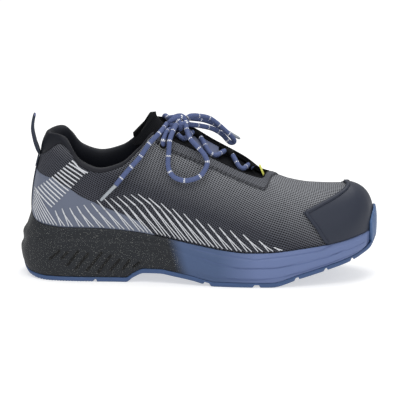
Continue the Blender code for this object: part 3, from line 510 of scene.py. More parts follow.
def bend_grid(name, lines, finish, thickness=0.0, rides=True, depths=None, lining=None):
    """A grid bent so that its lines pass through the points given, with a cloth map in metres.

    depths are values of as many lines and points, kept as a second map. lining is the inner face's finish.
    """
    columns, rows = len(lines) - 1, len(lines[0]) - 1
    work = bmesh.new()
    bmesh.ops.create_grid(work, x_segments=columns, y_segments=rows, size=0.5)
    middle = rows // 2
    along = [0.0]
    for near, far in zip(lines, lines[1:]):
        along.append(along[-1] + (far[middle] - near[middle]).length)
    across = []
    for points in lines:
        run = [0.0]
        for near, far in zip(points, points[1:]):
            run.append(run[-1] + (far - near).length)
        across.append(run)
    cloth = work.loops.layers.uv.new("cloth")
    marks = work.loops.layers.uv.new("depths") if depths else None
    places = {}
    for vert in work.verts:
        column = round((vert.co.x + 0.5) * columns)
        row = round((vert.co.y + 0.5) * rows)
        places[vert.index] = (column, row)
    for face in work.faces:
        for loop in face.loops:
            column, row = places[loop.vert.index]
            loop[cloth].uv = (along[column], across[column][row])
            if depths:
                loop[marks].uv = (depths[column][row], 0.0)
    for vert in work.verts:
        column, row = places[vert.index]
        vert.co = lines[column][row]
    bmesh.ops.remove_doubles(work, verts=work.verts, dist=MERGE)
    bmesh.ops.dissolve_degenerate(work, dist=MERGE / 10, edges=work.edges)
    return make_piece(name, work, finish, thickness, rides, lining)


def close_ends(piece):
    """Fills a tube's open ends and turns its faces outwards."""
    work = bmesh.new()
    work.from_mesh(piece.data)
    bmesh.ops.holes_fill(work, edges=[edge for edge in work.edges if edge.is_boundary])
    bmesh.ops.recalc_face_normals(work, faces=work.faces)
    work.to_mesh(piece.data)
    work.free()
    return piece


def lace_piece(name, points, replaced, radius=LACE, finish=cord):
    route = [place * MM for place in smooth_route(points, LACE_FINE)]
    piece = close_ends(bend_grid(name, tube_lines(route, radius, LACE_AROUND), finish))
    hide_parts(replaced)
    return piece, route


def route_length(route):
    return sum((far - near).length for near, far in zip(route, route[1:]))


def lace_tip(name, ends):
    """A tip with a rounded nose, a little thinner than the lace."""
    start, end = (Vector(place) * MM for place in ends)
    route = [start.lerp(end, share) for share, _ in TIP_PROFILE]
    lines = tube_lines(route, LACE, LACE_AROUND)
    for line, place, (_, size) in zip(lines, route, TIP_PROFILE):
        for index, point in enumerate(line):
            line[index] = place + (point - place) * size
    piece = close_ends(bend_grid(name, lines, clear_tip))
    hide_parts(name.replace("aglet", "tip"))
    return piece


bow_lateral, lateral_route = lace_piece("bow_loop_lateral", LOOP_LATERAL, "lace_loop_lateral")
bow_medial, medial_route = lace_piece("bow_loop_medial", LOOP_MEDIAL, "lace_loop_medial")
end_lateral, lateral_end_route = lace_piece("bow_end_lateral", END_LATERAL, "lace_end_lateral")
end_medial, medial_end_route = lace_piece("bow_end_medial", END_MEDIAL, "lace_end_medial")
aglet_lateral = lace_tip("lace_aglet_lateral", TIP_LATERAL)
aglet_medial = lace_tip("lace_aglet_medial", TIP_MEDIAL)

# Knot: four short turns of the same lace, drawn tight round each other. The bow's two loops and two ends
# come out between them.
KNOT_SWELL = 1.05
KNOT_TURNS = (
    ((-28, -4.5, 128.4), (-25.5, -7.2, 133), (-20, -6, 136.2), (-14.5, -3.5, 135), (-11.6, -4, 130.4)),
    ((-27, 2, 134), (-22.5, -4, 135.6), (-17.5, -8.2, 131.6), (-17, -8.4, 127.2), (-20, -4, 125.6)),
    ((-13, 4.5, 133.2), (-17, 5.6, 135.4), (-22.5, 5.6, 134), (-26.5, 3.2, 130.4), (-25.5, 0, 126.8)),
    ((-26.5, -6.4, 130.6), (-22, -8.6, 129.4), (-16.5, -8.6, 130.4), (-12.4, -5, 131.8), (-11.5, 0.5, 131)),
)


def joined(name, pieces, finish):
    """One piece from several."""
    work = bmesh.new()
    for piece in pieces:
        solid = piece.evaluated_get(bpy.context.evaluated_depsgraph_get()).to_mesh()
        work.from_mesh(solid)
        bpy.data.objects.remove(piece)
    return make_piece(name, work, finish)


def loose_tube(route, radius, finish):
    """A closed tube that is to be joined with others."""
    return close_ends(bend_grid("tube", tube_lines(route, radius, LACE_AROUND), finish, rides=False))


turns = [[place * MM for place in smooth_route(points, LACE_FINE)] for points in KNOT_TURNS]
knot_piece = joined("bow_knot", [loose_tube(turn, LACE * KNOT_SWELL, cord) for turn in turns], cord)
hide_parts("lace_knot")

route_length(lateral_route)
route_length(medial_route)
route_length(lateral_end_route)
route_length(medial_end_route)

# Outsole: blue rubber, moulded with lugs under the heel and forefoot and a fine saw edge at the heel. It is
# glued to the foam.
HEEL_BEVEL = 15.0 * MM
ARCH_LIFT = 8.5 * MM
TOE_SPRING = 20.0 * MM
RUBBER = 3.9 * MM
RUBBER_BACK = 0.35
RUBBER_FULL = 0.05
RUBBER_ROUND = 1.1 * MM
RUBBER_IN = 0.5
RUBBER_SHOULDER = 0.3 * MM
RUBBER_LAP = 2.2 * MM
Lift = namedtuple("Lift", "along size share")
UNDERSIDE = (
    Lift(0.000, HEEL_BEVEL, 1.40),
    Lift(0.0035, HEEL_BEVEL, 1.05),
    Lift(0.009, HEEL_BEVEL, 0.69),
    Lift(0.018, HEEL_BEVEL, 0.40),
    Lift(0.033, HEEL_BEVEL, 0.15),
    Lift(0.053, HEEL_BEVEL, 0.04),
    Lift(0.079, HEEL_BEVEL, 0.00),
    Lift(0.297, ARCH_LIFT, 0.00),
    Lift(0.318, ARCH_LIFT, 0.50),
    Lift(0.347, ARCH_LIFT, 0.96),
    Lift(0.390, ARCH_LIFT, 1.00),
    Lift(0.432, ARCH_LIFT, 0.79),
    Lift(0.482, ARCH_LIFT, 0.48),
    Lift(0.515, ARCH_LIFT, 0.19),
    Lift(0.545, ARCH_LIFT, 0.00),
    Lift(0.700, TOE_SPRING, 0.00),
    Lift(0.780, TOE_SPRING, 0.34),
    Lift(0.858, TOE_SPRING, 0.67),
    Lift(0.931, TOE_SPRING, 1.00),
    Lift(0.977, TOE_SPRING, 1.36),
    Lift(1.000, TOE_SPRING, 1.80),
)
Channel = namedtuple("Channel", "along width skew span")
CHANNELS = (
    Channel(0.110, 2.6 * MM, -8, 0.45),
    Channel(0.165, 2.6 * MM, -8, 0.50),
    Channel(0.229, 2.6 * MM, -8, 1.30),
    Channel(0.495, 5.4 * MM, 10, 1.30),
    Channel(0.550, 2.6 * MM, 8, 0.60),
    Channel(0.600, 2.6 * MM, 6, 0.65),
    Channel(0.649, 5.4 * MM, 4, 1.30),
    Channel(0.715, 2.6 * MM, 0, 0.70),
    Channel(0.781, 3.4 * MM, -3, 1.30),
    Channel(0.858, 2.6 * MM, -2, 1.30),
    Channel(0.927, 2.2 * MM, 0, 1.30),
)
CHANNEL_DEPTH = 2.3 * MM
CHANNEL_WALL = (0.36, 0.62)
CHANNEL_END = 1.0 * MM
SOLE_COLUMNS = 22 * TOE
TREAD_ROWS = 44


def blend(low, high, value):
    share = min(max((value - low) / (high - low), 0.0), 1.0)
    return share * share * (3 - 2 * share)


def steps(start, end, count):
    """Evenly spaced values, both ends included."""
    return [start + (end - start) * index / count for index in range(count + 1)]


@lru_cache(maxsize=None)
def height_at(table, along):
    """Height of a lengthwise table at a share of LENGTH, smooth and without overshoot."""
    last = len(table) - 2
    index = max(i for i in range(last + 1) if i == 0 or table[i].along <= along)
    near, far = table[index], table[index + 1]
    span = far.along - near.along

    def slope(left, right):
        return (right.size * right.share - left.size * left.share) / (right.along - left.along)

    def eased(one, other):
        return 2 * one * other / (one + other) if one * other > 0 else 0.0

    middle = slope(near, far)
    leave = eased(slope(table[index - 1], near), middle) if index > 0 else middle
    arrive = eased(middle, slope(far, table[index + 2])) if index < last else middle
    share = (along - near.along) / span
    rest = 1 - share
    return (
        near.size * near.share * (1 + 2 * share) * rest**2
        + leave * span * share * rest**2
        + far.size * far.share * share**2 * (3 - 2 * share)
        - arrive * span * share**2 * rest
    )


def ground(x):
    return height_at(UNDERSIDE, round(min(max(x / LENGTH + 0.5, 0.0), 1.0), 5))


def outsole_top(x):
    full = blend(0, RUBBER_FULL, x / LENGTH + 0.5)
    return ground(x) + RUBBER * (RUBBER_BACK + (1 - RUBBER_BACK) * full)


def side_inset(station, inset, z):
    """A point of the sole's side at a distance in from its widest line."""
    at = section(station)
    point = at.outline - at.facing * inset
    point.z = z
    return point


BUMPER = 2.7 * MM
BUMPER_TOP = 18.5 * MM
BUMPER_END_TOP = 8.0 * MM
BUMPER_REACH = 1.2
SAW_FROM = -143.0 * MM
SAW_TO = -89.0 * MM
SAW_TOOTH = 2.4 * MM
SAW_DEPTH = 0.8 * MM
SAW_REACH = 6 * MM


def toe_recess(station):
    """Share of the room that the bumper takes from the midsole."""
    return 1 - blend(BUMPER_REACH + 0.1, BUMPER_REACH + 0.7, abs(station - TOE))


def tread(point, at_edge):
    """How far the tread is cut into the rubber at a place."""
    deep = 0.0
    for channel in CHANNELS:
        x = (channel.along - 0.5) * LENGTH - point.y * math.tan(math.radians(channel.skew))
        off = abs(point.x - x) / channel.width
        end = channel.span * BALL / 2
        wall = (1 - blend(*CHANNEL_WALL, off)) * (1 - blend(end - CHANNEL_END, end, abs(point.y)))
        deep = max(deep, CHANNEL_DEPTH * wall)
    if at_edge and SAW_FROM < point.x < SAW_TO:
        deep = max(deep, SAW_DEPTH * abs((point.x / SAW_TOOTH) % 1 - 0.5) * 2)
    return deep


def rubber_side(station):
    """The rubber's edge from its underside to its top."""
    toe = toe_recess(station)
    outer = RIM_STEP * RUBBER_IN * (1 - toe) + GAP * toe
    profile = (
        (outer + RUBBER_ROUND, 0.0),
        (outer + 0.45 * RUBBER_ROUND, 0.1 * RUBBER_ROUND),
        (outer + 0.1 * RUBBER_ROUND, 0.45 * RUBBER_ROUND),
        (outer, RUBBER_ROUND),
        (outer, 0.6 * RUBBER),
        (outer, 0.85 * RUBBER),
        (outer + RUBBER_SHOULDER, RUBBER),
        (outer + RUBBER_LAP, RUBBER),
    )
    points = []
    for inset, rise in profile:
        point = side_inset(station, inset, 0)
        room = outsole_top(point.x) - ground(point.x)
        cut = tread(point, True) if rise < 0.9 * RUBBER else 0.0
        point.z = ground(point.x) + max(rise / RUBBER * room if rise > RUBBER_ROUND else min(rise, room), cut)
        points.append(point)
    return points


rubber = Finish("rubber_blue", 0.55, Coat_Weight=0.05)
grain = rubber.noise(700.0, 3.0)
patches = rubber.noise(25.0, 3.0)
rubber.set("Base Color", patches.mixed(shade("2b4468"), shade("365180")))
rubber.bump(grain, 0.1 * MM, 0.4)

sole_lines = []
for station in steps(0, TOE, SOLE_COLUMNS):
    lateral = rubber_side(station)
    medial = rubber_side(RING - station)
    under = []
    for share in steps(0, 1, TREAD_ROWS)[1:-1]:
        point = medial[0].lerp(lateral[0], share)
        edge = min(share, 1 - share) * (medial[0] - lateral[0]).length < SAW_REACH
        point.z = ground(point.x) + tread(point, edge)
        under.append(point)
    top = [lateral[-1].lerp(medial[-1], share) for share in (0.3, 0.7)]
    for point in top:
        point.z = outsole_top(point.x)
    sole_lines.append(lateral + top + medial[::-1] + under + lateral[:1])
outsole = bend_grid("outsole_tread", sole_lines, rubber)
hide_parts("outsole")

# Toe bumper: the front of the same rubber, folded up over the toe, with fine level ribs. It is a shade
# lighter than the sole and is glued to the foam in the recess there.
RIB = 1.9 * MM
RIB_DEPTH = 0.35 * MM
BELLY = 0.35
BELLY_LOW = 0.35
BELLY_HIGH = 0.6
bumper_lines = []
for station in steps(TOE - BUMPER_REACH, TOE + BUMPER_REACH, 64):
    at = section(station)
    away = abs(station - TOE) / BUMPER_REACH
    top = BUMPER_TOP + (BUMPER_END_TOP - BUMPER_TOP) * away**2
    low = ground(at.outline.x - BUMPER) + 0.4 * RUBBER
    high = at.feather + top
    points = [side_inset(station, BUMPER, low), side_inset(station, 0.6 * BUMPER, low)]
    for share in steps(0.02, 0.97, 60):
        rise = (high - low) * share
        if share < BELLY:
            bulge = BELLY_LOW * (1 - share / BELLY) ** 2
        else:
            bulge = BELLY_HIGH * ((share - BELLY) / (1 - BELLY)) ** 3
        rib = RIB_DEPTH * (0.5 - 0.5 * math.cos(2 * math.pi * rise / RIB)) * (1 - blend(0.8, 1.0, away))
        points.append(side_inset(station, bulge * BUMPER + rib, low + rise))
    points.append(side_inset(station, BUMPER, high))
    points.append(points[0])
    bumper_lines.append(points)
bumper_rubber = Finish("bumper_blue", 0.5, Coat_Weight=0.1)
bumper_rubber.set("Base Color", shade("3f5d88"))
bumper = close_ends(bend_grid("toe_bumper", bumper_lines, bumper_rubber))

# Midsole: a foam cup, charcoal with pale specks at the heel and blue from the waist to the toe. The side is
# moulded with a step at the heel, slanted cuts beside it and three long creases along the forefoot.
WALL = 2.5 * MM
LIP = 0.8 * MM
LEDGE = 1.6 * MM
CUP_SLOPE = 1.0 * MM
RIM_ROUND = 1.0 * MM
RIM_RISE = 0.995
FOOTBED = (
    Lift(0.000, SOLE_HEIGHT, 0.76),
    Lift(0.200, SOLE_HEIGHT, 0.74),
    Lift(0.360, SOLE_HEIGHT, 0.66),
    Lift(0.500, SOLE_HEIGHT, 0.51),
    Lift(0.640, SOLE_HEIGHT, 0.43),
    Lift(0.790, SOLE_HEIGHT, 0.48),
    Lift(0.910, SOLE_HEIGHT, 0.63),
    Lift(1.000, SOLE_HEIGHT, 0.80),
)
SideStep = namedtuple("SideStep", "back_rise back_in side_rise side_in fore_rise fore_in")
SIDE_STEPS = (
    SideStep(0.00, 0.60, 0.00, 0.58, 0.00, 0.58),
    SideStep(0.08, 0.22, 0.10, 0.22, 0.13, 0.42),
    SideStep(0.24, 0.00, 0.35, 0.00, 0.17, 0.14),
    SideStep(0.30, 0.08, 0.62, 0.06, 0.46, 0.02),
    SideStep(0.37, 0.42, 0.74, 0.14, 0.50, 0.18),
    SideStep(0.42, 0.45, 0.78, 0.50, 0.55, 0.08),
    SideStep(0.53, 0.36, 0.86, 0.46, 0.78, 0.14),
    SideStep(0.70, 1.20, 0.96, 0.62, 0.83, 0.36),
)
HEEL_BACK_END = 3.0
FOREFOOT_START = 8.0
FOREFOOT_FULL = 11.0
Cut = namedtuple("Cut", "low_x low_z high_x high_z")
CUTS = (
    Cut(-125.5, 19.2, -117.8, 26.3),
    Cut(-115.6, 20.2, -110.7, 25.5),
    Cut(-110.6, 14.5, -101.9, 26.5),
    Cut(-103.4, 11.4, -93.6, 24.5),
    Cut(-94.0, 10.4, -82.1, 25.5),
    Cut(-84.7, 8.7, -74.5, 22.9),
    Cut(-74.5, 10.5, -66.8, 19.9),
    Cut(-63.9, 11.8, -58.6, 19.2),
    Cut(-54.9, 13.8, -50.3, 17.8),
)
CUT_WIDTH = 1.5
CUT_DEPTH = 1.5 * MM
CUTS_TO = -45
CREASES_FROM = -14
Crease = namedtuple("Crease", "x z")
CREASES = (
    (Crease(-14, 34.0), Crease(-2, 31.1), Crease(20, 27.4), Crease(48, 24.3), Crease(71, 26.7),
     Crease(99, 30.2), Crease(118, 36.0)),
    (Crease(-8, 27.0), Crease(2, 24.2), Crease(17, 20.0), Crease(35, 16.4), Crease(64, 17.2),
     Crease(85, 20.4), Crease(106, 24.6), Crease(128, 31.5)),
    (Crease(4, 12.0), Crease(14, 9.0), Crease(33, 6.9), Crease(48, 6.8), Crease(64, 8.5),
     Crease(85, 12.6), Crease(106, 18.2), Crease(127, 24.6), Crease(141, 30.0)),
)
CREASE_WIDTH = 1.0
CREASE_DEPTH = 0.55 * MM
CREASE_SOFT = 0.35


def footbed(x):
    return height_at(FOOTBED, round(min(max(x / LENGTH + 0.5, 0.0), 1.0), 5))


def crease_height(line, x):
    for near, far in zip(line, line[1:]):
        if near.x <= x <= far.x:
            soft, straight = blend(near.x, far.x, x), (x - near.x) / (far.x - near.x)
            return near.z + (far.z - near.z) * (CREASE_SOFT * soft + (1 - CREASE_SOFT) * straight)
    return None


def foam_cut(point):
    """How deep the moulded cuts and creases are at a place on the foam's side."""
    x, z = point.x * 1000, point.z * 1000
    deep = 0.0
    if x < CUTS_TO:
        for cut in CUTS:
            run = Vector((cut.high_x - cut.low_x, cut.high_z - cut.low_z))
            off = Vector((x - cut.low_x, z - cut.low_z))
            share = min(max(off.dot(run) / run.length_squared, 0.0), 1.0)
            away = (off - run * share).length / CUT_WIDTH
            deep = max(deep, CUT_DEPTH * (1 - blend(0.2, 1.0, away)))
    elif x > CREASES_FROM:
        for line in CREASES:
            height = crease_height(line, x)
            if height is not None:
                ends = blend(line[0].x, line[0].x + 12, x) * (1 - blend(line[-1].x - 10, line[-1].x, x))
                away = abs(z - height) / CREASE_WIDTH
                deep = max(deep, CREASE_DEPTH * ends * (1 - blend(0.0, 1.0, away)))
    return deep


def foam_side(station):
    """The foam's side from its lower edge to the rim, over the ledge and down into its cup."""
    at = section(station)
    away = min(station, RING - station)
    to_side = blend(0.0, HEEL_BACK_END, away)
    to_fore = blend(FOREFOOT_START, FOREFOOT_FULL, away)
    recess = toe_recess(station) * (BUMPER + GAP)
    rows = []
    for row in SIDE_STEPS:
        rise = row.back_rise + (row.side_rise - row.back_rise) * to_side
        rise += (row.fore_rise - row.side_rise) * to_fore
        inset = row.back_in + (row.side_in - row.back_in) * to_side
        inset += (row.fore_in - row.side_in) * to_fore
        rows.append(Vector((inset * RIM_STEP, rise)))
    rim = max(at.step - LIP, recess)
    rows.append(Vector((rim, RIM_RISE)))
    profile = [rows[0]]
    for index in range(len(rows) - 1):
        before = rows[max(index - 1, 0)]
        after = rows[min(index + 2, len(rows) - 1)]
        count = max(2, round((rows[index + 1] - rows[index]).y * 30))
        for share in steps(0, 1, count)[1:]:
            inset = monotone(before.x, rows[index].x, rows[index + 1].x, after.x, share)
            profile.append(Vector((inset, rows[index].y + (rows[index + 1].y - rows[index].y) * share)))
    return at, rim, recess, profile


def foam_line(station, count):
    """Evenly spaced points over the foam's side, with its cuts and creases, then the rim and the cup."""
    at, rim, recess, profile = foam_side(station)
    low = outsole_top(side_inset(station, max(profile[0].x, recess), 0).x) + GAP
    points = []
    cuts = []
    for rise in steps(0, RIM_RISE, count):
        for near, far in zip(profile, profile[1:]):
            if rise <= far.y + 1e-9:
                share = (rise - near.y) / max(far.y - near.y, 1e-9)
                inset = near.x + (far.x - near.x) * share
                break
        inset = max(inset, recess)
        point = side_inset(station, inset, low + (at.feather - low) * rise)
        cut = foam_cut(point)
        cuts.append(cut)
        points.append(point - at.facing * cut)
    ledge = at.step + WALL + LEDGE
    points.append(side_inset(station, rim + 0.25 * RIM_ROUND, at.feather))
    points.append(side_inset(station, rim + RIM_ROUND, at.feather))
    points.append(side_inset(station, ledge, at.feather))
    cup = side_inset(station, ledge + CUP_SLOPE, 0)
    cup.z = footbed(cup.x)
    points.append(cup)
    return points, cuts + [0.0] * 4


FOAM_COLUMNS = 18 * TOE
FOAM_ROWS = 40
SPECK_CELL = 330.0
FADE_AT = -9.5
FADE_LEAN = 0.31
FADE_OVER = 14.0
FORWARD_AT = 16.0
FORWARD_OVER = 34.0
foam = Finish("foam", 0.62, Specular_IOR_Level=0.35)
x, _, z = foam.place()
fade = ((x + z * FADE_LEAN - FADE_AT) / FADE_OVER + 0.5).clamped()
fade = fade.node("ShaderNodeMapRange", {"interpolation_type": "SMOOTHSTEP"}, {0: fade})
speck_field = foam.start.node(
    "ShaderNodeTexVoronoi", {"feature": "F1"}, {"Scale": SPECK_CELL, "Randomness": 1.0}
)
speck_pick = foam.start.node("ShaderNodeTexVoronoi", {"feature": "F1"}, {"Scale": SPECK_CELL}, out=1)
pick = speck_pick.node("ShaderNodeSeparateColor", None, {0: speck_pick})
speck = speck_field.below(0.24, 0.08) * pick.below(0.12, 0.02) * fade.below(0.55, 0.5)
foam_grain = foam.noise(420.0, 4.0)
clouds = foam.noise(30.0, 3.0)
charcoal = clouds.mixed(shade("101318"), shade("1b1f25"))
forward = ((x - FORWARD_AT) / FORWARD_OVER).clamped()
blue = forward.mixed(shade("435577"), shade("617098"))
depths = foam.split(foam.start.node("ShaderNodeUVMap", {"uv_map": "depths"}))
# Painted shade: the foam is coloured darker inside its moulded cuts and creases, near black in the charcoal
# part.
cut_painted_shade = (depths[0] * 1.5 - 0.2).clamped()
base = cut_painted_shade.mixed(fade.mixed(charcoal, blue), fade.mixed(shade("050607"), shade("4a5a84")))
speck_shade = foam_grain.mixed(shade("a9aba4"), shade("eceee6"))
foam.set("Base Color", speck.mixed(base, speck_shade))
foam.bump(foam_grain, 0.12 * MM, 0.35)

foam_lines = []
foam_cuts = []
for station in steps(0, TOE, FOAM_COLUMNS):
    lateral, lateral_cuts = foam_line(station, FOAM_ROWS)
    medial, medial_cuts = foam_line(RING - station, FOAM_ROWS)
    floor_points = [lateral[-1].lerp(medial[-1], share) for share in (0.25, 0.5, 0.75)]
    for point in floor_points:
        point.z = footbed(point.x)
    under = [medial[0].lerp(lateral[0], share) for share in (0.25, 0.5, 0.75)]
    for point in under:
        point.z = outsole_top(point.x) + GAP
    foam_lines.append(lateral + floor_points + medial[::-1] + under + lateral[:1])
    foam_cuts.append(lateral_cuts + [0.0] * 3 + medial_cuts[::-1] + [0.0] * 3 + lateral_cuts[:1])
midsole = bend_grid("midsole_foam", foam_lines, foam, depths=foam_cuts)
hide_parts("midsole")

# Insole: a footbed of soft foam under black twill, cut to the shape of the midsole's cup. It lies in the
# cup loose.
INSOLE = 3.5 * MM
INSOLE_ROUND = 0.8 * MM
INSOLE_END = 0.35
sock_cloth = Finish("insole_cloth", 0.9)
along, across_it, _ = sock_cloth.cloth()
twill = (along + across_it).wave(1.6) * 2.0
sock_cloth.set("Base Color", twill.mixed(shade("15171b"), shade("2a2d33")))
sock_cloth.bump(twill, 0.2 * MM, 0.5)
insole_lines = []
for station in steps(INSOLE_END, TOE - INSOLE_END, 60):
    pair = []
    for here in (station, RING - station):
        at = section(here)
        inset = at.step + WALL + LEDGE + CUP_SLOPE + 2 * GAP
        lower = side_inset(here, inset, 0)
        lower.z = footbed(lower.x) + GAP
        upper_edge = lower + Vector((0, 0, INSOLE - INSOLE_ROUND))
        inner = side_inset(here, inset + INSOLE_ROUND, 0)
        inner.z = footbed(inner.x) + GAP + INSOLE
        pair.append([lower, upper_edge, inner])
    lateral, medial = pair
    top = [lateral[2].lerp(medial[2], share) for share in steps(0, 1, 14)[1:-1]]
    for point in top:
        point.z = footbed(point.x) + GAP + INSOLE
    under = medial[0].lerp(lateral[0], 0.5)
    insole_lines.append(lateral + top + medial[::-1] + [under, lateral[0]])
insole = close_ends(bend_grid("insole_sock", insole_lines, sock_cloth))
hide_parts("insole")

# Upper: one piece of coarse dark knit, pulled over the last and glued down inside the foam's rim. Its
# threads lie in short slanted stitches, dark between and pale on top.
KNIT_COLUMNS = 9 * RING
KNIT_ROWS = 26
STITCH = 2.1
STITCH_SLANT = 0.51
TOP_LIGHT_AT = 66.0
TOP_LIGHT_LEAN = 0.35
TOP_LIGHT_OVER = 42.0
knit = Finish("knit", 0.88, Specular_IOR_Level=0.2)


def stitches(along, up, course_limit, wale_limit, soft):
    """1 on the threads of the knit and 0 in its holes."""
    course = (up + along * STITCH_SLANT).wave(STITCH) * 2.0
    wale = (along - up * STITCH_SLANT).wave(STITCH) * 2.0
    return 1 - (1 - course.below(course_limit, soft)) * (1 - wale.below(wale_limit, soft))


along, up, _ = knit.cloth()
x, _, z = knit.place()
thread = stitches(along, up, 0.42, 0.26, 0.36)
yarn_noise = knit.noise(900.0, 2.0)
top_light_noise = knit.noise(28.0, 3.0)
thread = thread * (yarn_noise * 0.8 + 0.6)
# Painted light: the threads are painted paler higher up and further forward, where the top of the shoe is lit;
# the noise only breaks up the edge of this pale zone.
painted_top_light = ((z + x * TOP_LIGHT_LEAN - TOP_LIGHT_AT + top_light_noise * 6.0) / TOP_LIGHT_OVER).clamped()
pale = painted_top_light.mixed(shade("4a4c55"), shade("909297"))
knit.set("Base Color", thread.mixed(shade("0c0d10"), pale))
knit.bump(thread, 0.35 * MM, 0.8)
lining = Finish("lining", 0.9, Specular_IOR_Level=0.15)
lining.set("Base Color", shade("0b0c0f"))
knit_lines = []
for station in steps(0, RING, KNIT_COLUMNS):
    knit_lines.append([skin_point(station, share) for share in steps(0, 1, KNIT_ROWS)])
upper = bend_grid("upper_knit", knit_lines, knit, WALL, lining=lining)
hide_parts("upper")

# Heel panel and toe cap: films fused to the knit. The heel's is thin and slate grey, the toe's is thicker
# and moulded in navy.
FILM_COLUMNS = 150
HEEL_FILM = 0.3 * MM
HEEL_FILM_OUT = 0.35 * MM
TOE_FILM = 0.8 * MM
TOE_FILM_OUT = 1.45 * MM
Patch = namedtuple("Patch", "away low high")
TOE_CAP = (
    Patch(0.00, 0.00, 0.965),
    Patch(1.30, 0.00, 0.955),
    Patch(1.90, 0.00, 0.910),
    Patch(2.30, 0.00, 0.820),
    Patch(2.70, 0.00, 0.700),
    Patch(3.30, 0.00, 0.600),
    Patch(3.85, 0.00, 0.525),
    Patch(4.20, 0.12, 0.480),
    Patch(4.55, 0.26, 0.440),
    Patch(4.90, 0.40, 0.400),
)
HEEL_PANEL = (
    Patch(0.00, 0.00, 0.75),
    Patch(1.00, 0.00, 0.71),
    Patch(2.50, 0.00, 0.60),
    Patch(4.10, 0.00, 0.52),
    Patch(5.45, 0.00, 0.45),
    Patch(6.35, 0.00, 0.32),
    Patch(7.20, 0.00, 0.17),
    Patch(7.90, 0.00, 0.00),
)


def patch_limits(rows, away):
    """The shares between which a film covers the skin, at a number of stations from its middle."""
    for near, far in zip(rows, rows[1:]):
        if away <= far.away:
            share = (away - near.away) / (far.away - near.away)
            return near.low + (far.low - near.low) * share, near.high + (far.high - near.high) * share
    return rows[-1].low, rows[-1].high


def film_piece(name, centre, rows, lanes, outside, finish, thickness):
    """A film over the skin, the same on both sides of a station."""
    reach = rows[-1].away
    lines = []
    for station in steps(centre - reach, centre + reach, FILM_COLUMNS):
        low, high = patch_limits(rows, abs(station - centre))
        lines.append([on_skin(station, share, outside) for share in steps(low, high, lanes)])
    return bend_grid(name, lines, finish, thickness)


slate = Finish("film_slate", 0.55, Specular_IOR_Level=0.4)
film_grain = slate.noise(300.0, 3.0)
slate.set("Base Color", film_grain.mixed(shade("565d6e"), shade("636a7c")))
slate.bump(film_grain, 0.08 * MM, 0.3)
heel_panel = film_piece("heel_film", 0, HEEL_PANEL, 16, HEEL_FILM_OUT, slate, HEEL_FILM)
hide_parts("heel_panel")

navy = Finish("film_navy", 0.48, Specular_IOR_Level=0.35)
cap_grain = navy.noise(520.0, 3.0)
navy.set("Base Color", cap_grain.mixed(shade("1c2130"), shade("272d3b")))
navy.bump(cap_grain, 0.1 * MM, 0.3)
toe_cap = film_piece("toe_film", TOE, TOE_CAP, 40, TOE_FILM_OUT, navy, TOE_FILM)
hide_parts("toe_cap")

# Toe border: a raised navy rib, moulded along the rear edge of the toe cap's film. It runs from the foam
# over the toe box and down the other side.
BORDER_WIDTH = 3.4 * MM
BORDER_OUT = 2.0 * MM
BORDER_THICK = 0.9 * MM
BORDER_CROWN = 0.3 * MM
BORDER = (
    (3.80, 0.02), (4.02, 0.08), (4.35, 0.22), (4.62, 0.33), (4.72, 0.40), (4.45, 0.43), (3.85, 0.50),
    (3.30, 0.57), (2.70, 0.67), (2.30, 0.785), (1.90, 0.88), (1.30, 0.93), (0.70, 0.94), (0.00, 0.945),
)


def strip(name, path, width, outside, finish, thickness, crown=0.0):
    """A narrow band on the skin along a path of stations and shares. width may change along it."""
    middle = [on_skin(station, share, outside) for station, share in path]
    lines = []
    for index, (station, share) in enumerate(path):
        ahead = middle[min(index + 1, len(path) - 1)] - middle[max(index - 1, 0)]
        normal = skin_normal(station, share)
        half = ahead.cross(normal).normalized() * (width if isinstance(width, float) else width[index]) / 2
        lines.append([middle[index] + half, middle[index] + normal * crown, middle[index] - half])
    return bend_grid(name, lines, finish, thickness, rides=False)


border_path = smooth_route([(TOE - away, share, 0) for away, share in BORDER], 4)
border_path = [(place.x, place.y) for place in border_path]
border_path += [(RING - station, share) for station, share in border_path[-2::-1]]
border = strip("border", border_path, BORDER_WIDTH, BORDER_OUT, navy, BORDER_THICK, BORDER_CROWN)
border = joined("toe_border", [border], navy)

# Stripes: raised pale print. One set runs down the heel and the other fans out along the quarter, each
# stroke a single line that splits into two legs on its way to the foam.
Stroke = namedtuple("Stroke", "top_x top_z foot_x gap")
STROKES = (
    Stroke(-121.2, 60.4, -116.3, 3.2),
    Stroke(-115.5, 62.5, -109.8, 3.2),
    Stroke(-109.1, 63.2, -100.6, 3.2),
    Stroke(-103.0, 64.7, -92.0, 3.2),
    Stroke(-97.3, 66.0, -83.3, 3.2),
    Stroke(-91.0, 67.5, -74.5, 3.3),
    Stroke(-86.2, 70.0, -66.4, 3.3),
    Stroke(-80.1, 71.6, -58.4, 3.4),
    Stroke(-74.8, 72.1, -49.6, 3.5),
    Stroke(-69.5, 73.6, -43.0, 3.6),
    Stroke(-63.9, 74.5, -34.5, 3.7),
    Stroke(-57.8, 75.4, -27.9, 3.8),
    Stroke(-51.8, 75.9, -19.4, 3.9),
    Stroke(-42.8, 73.0, -12.6, 3.6),
    Stroke(-32.4, 69.0, -5.4, 3.6),
    Stroke(-22.6, 64.8, 1.8, 3.6),
    Stroke(-13.2, 61.0, 9.0, 3.6),
    Stroke(-2.8, 57.0, 16.3, 3.6),
    Stroke(7.2, 53.2, 24.0, 3.7),
    Stroke(16.8, 50.4, 32.0, 3.8),
    Stroke(25.8, 48.2, 40.5, 3.8),
    Stroke(36.6, 45.0, 49.5, 3.8),
    Stroke(50.0, 40.0, 58.5, 3.6),
    Stroke(62.6, 34.6, 67.5, 2.4),
)
STRIPE = 0.3 * MM
STRIPE_OUT = 0.75 * MM
STRIPE_STEPS = 8
FORK_AT = 0.3
FAN_TOP = (0.6 * MM, 1.3 * MM)
FAN_LEG = (0.8 * MM, 0.8 * MM)
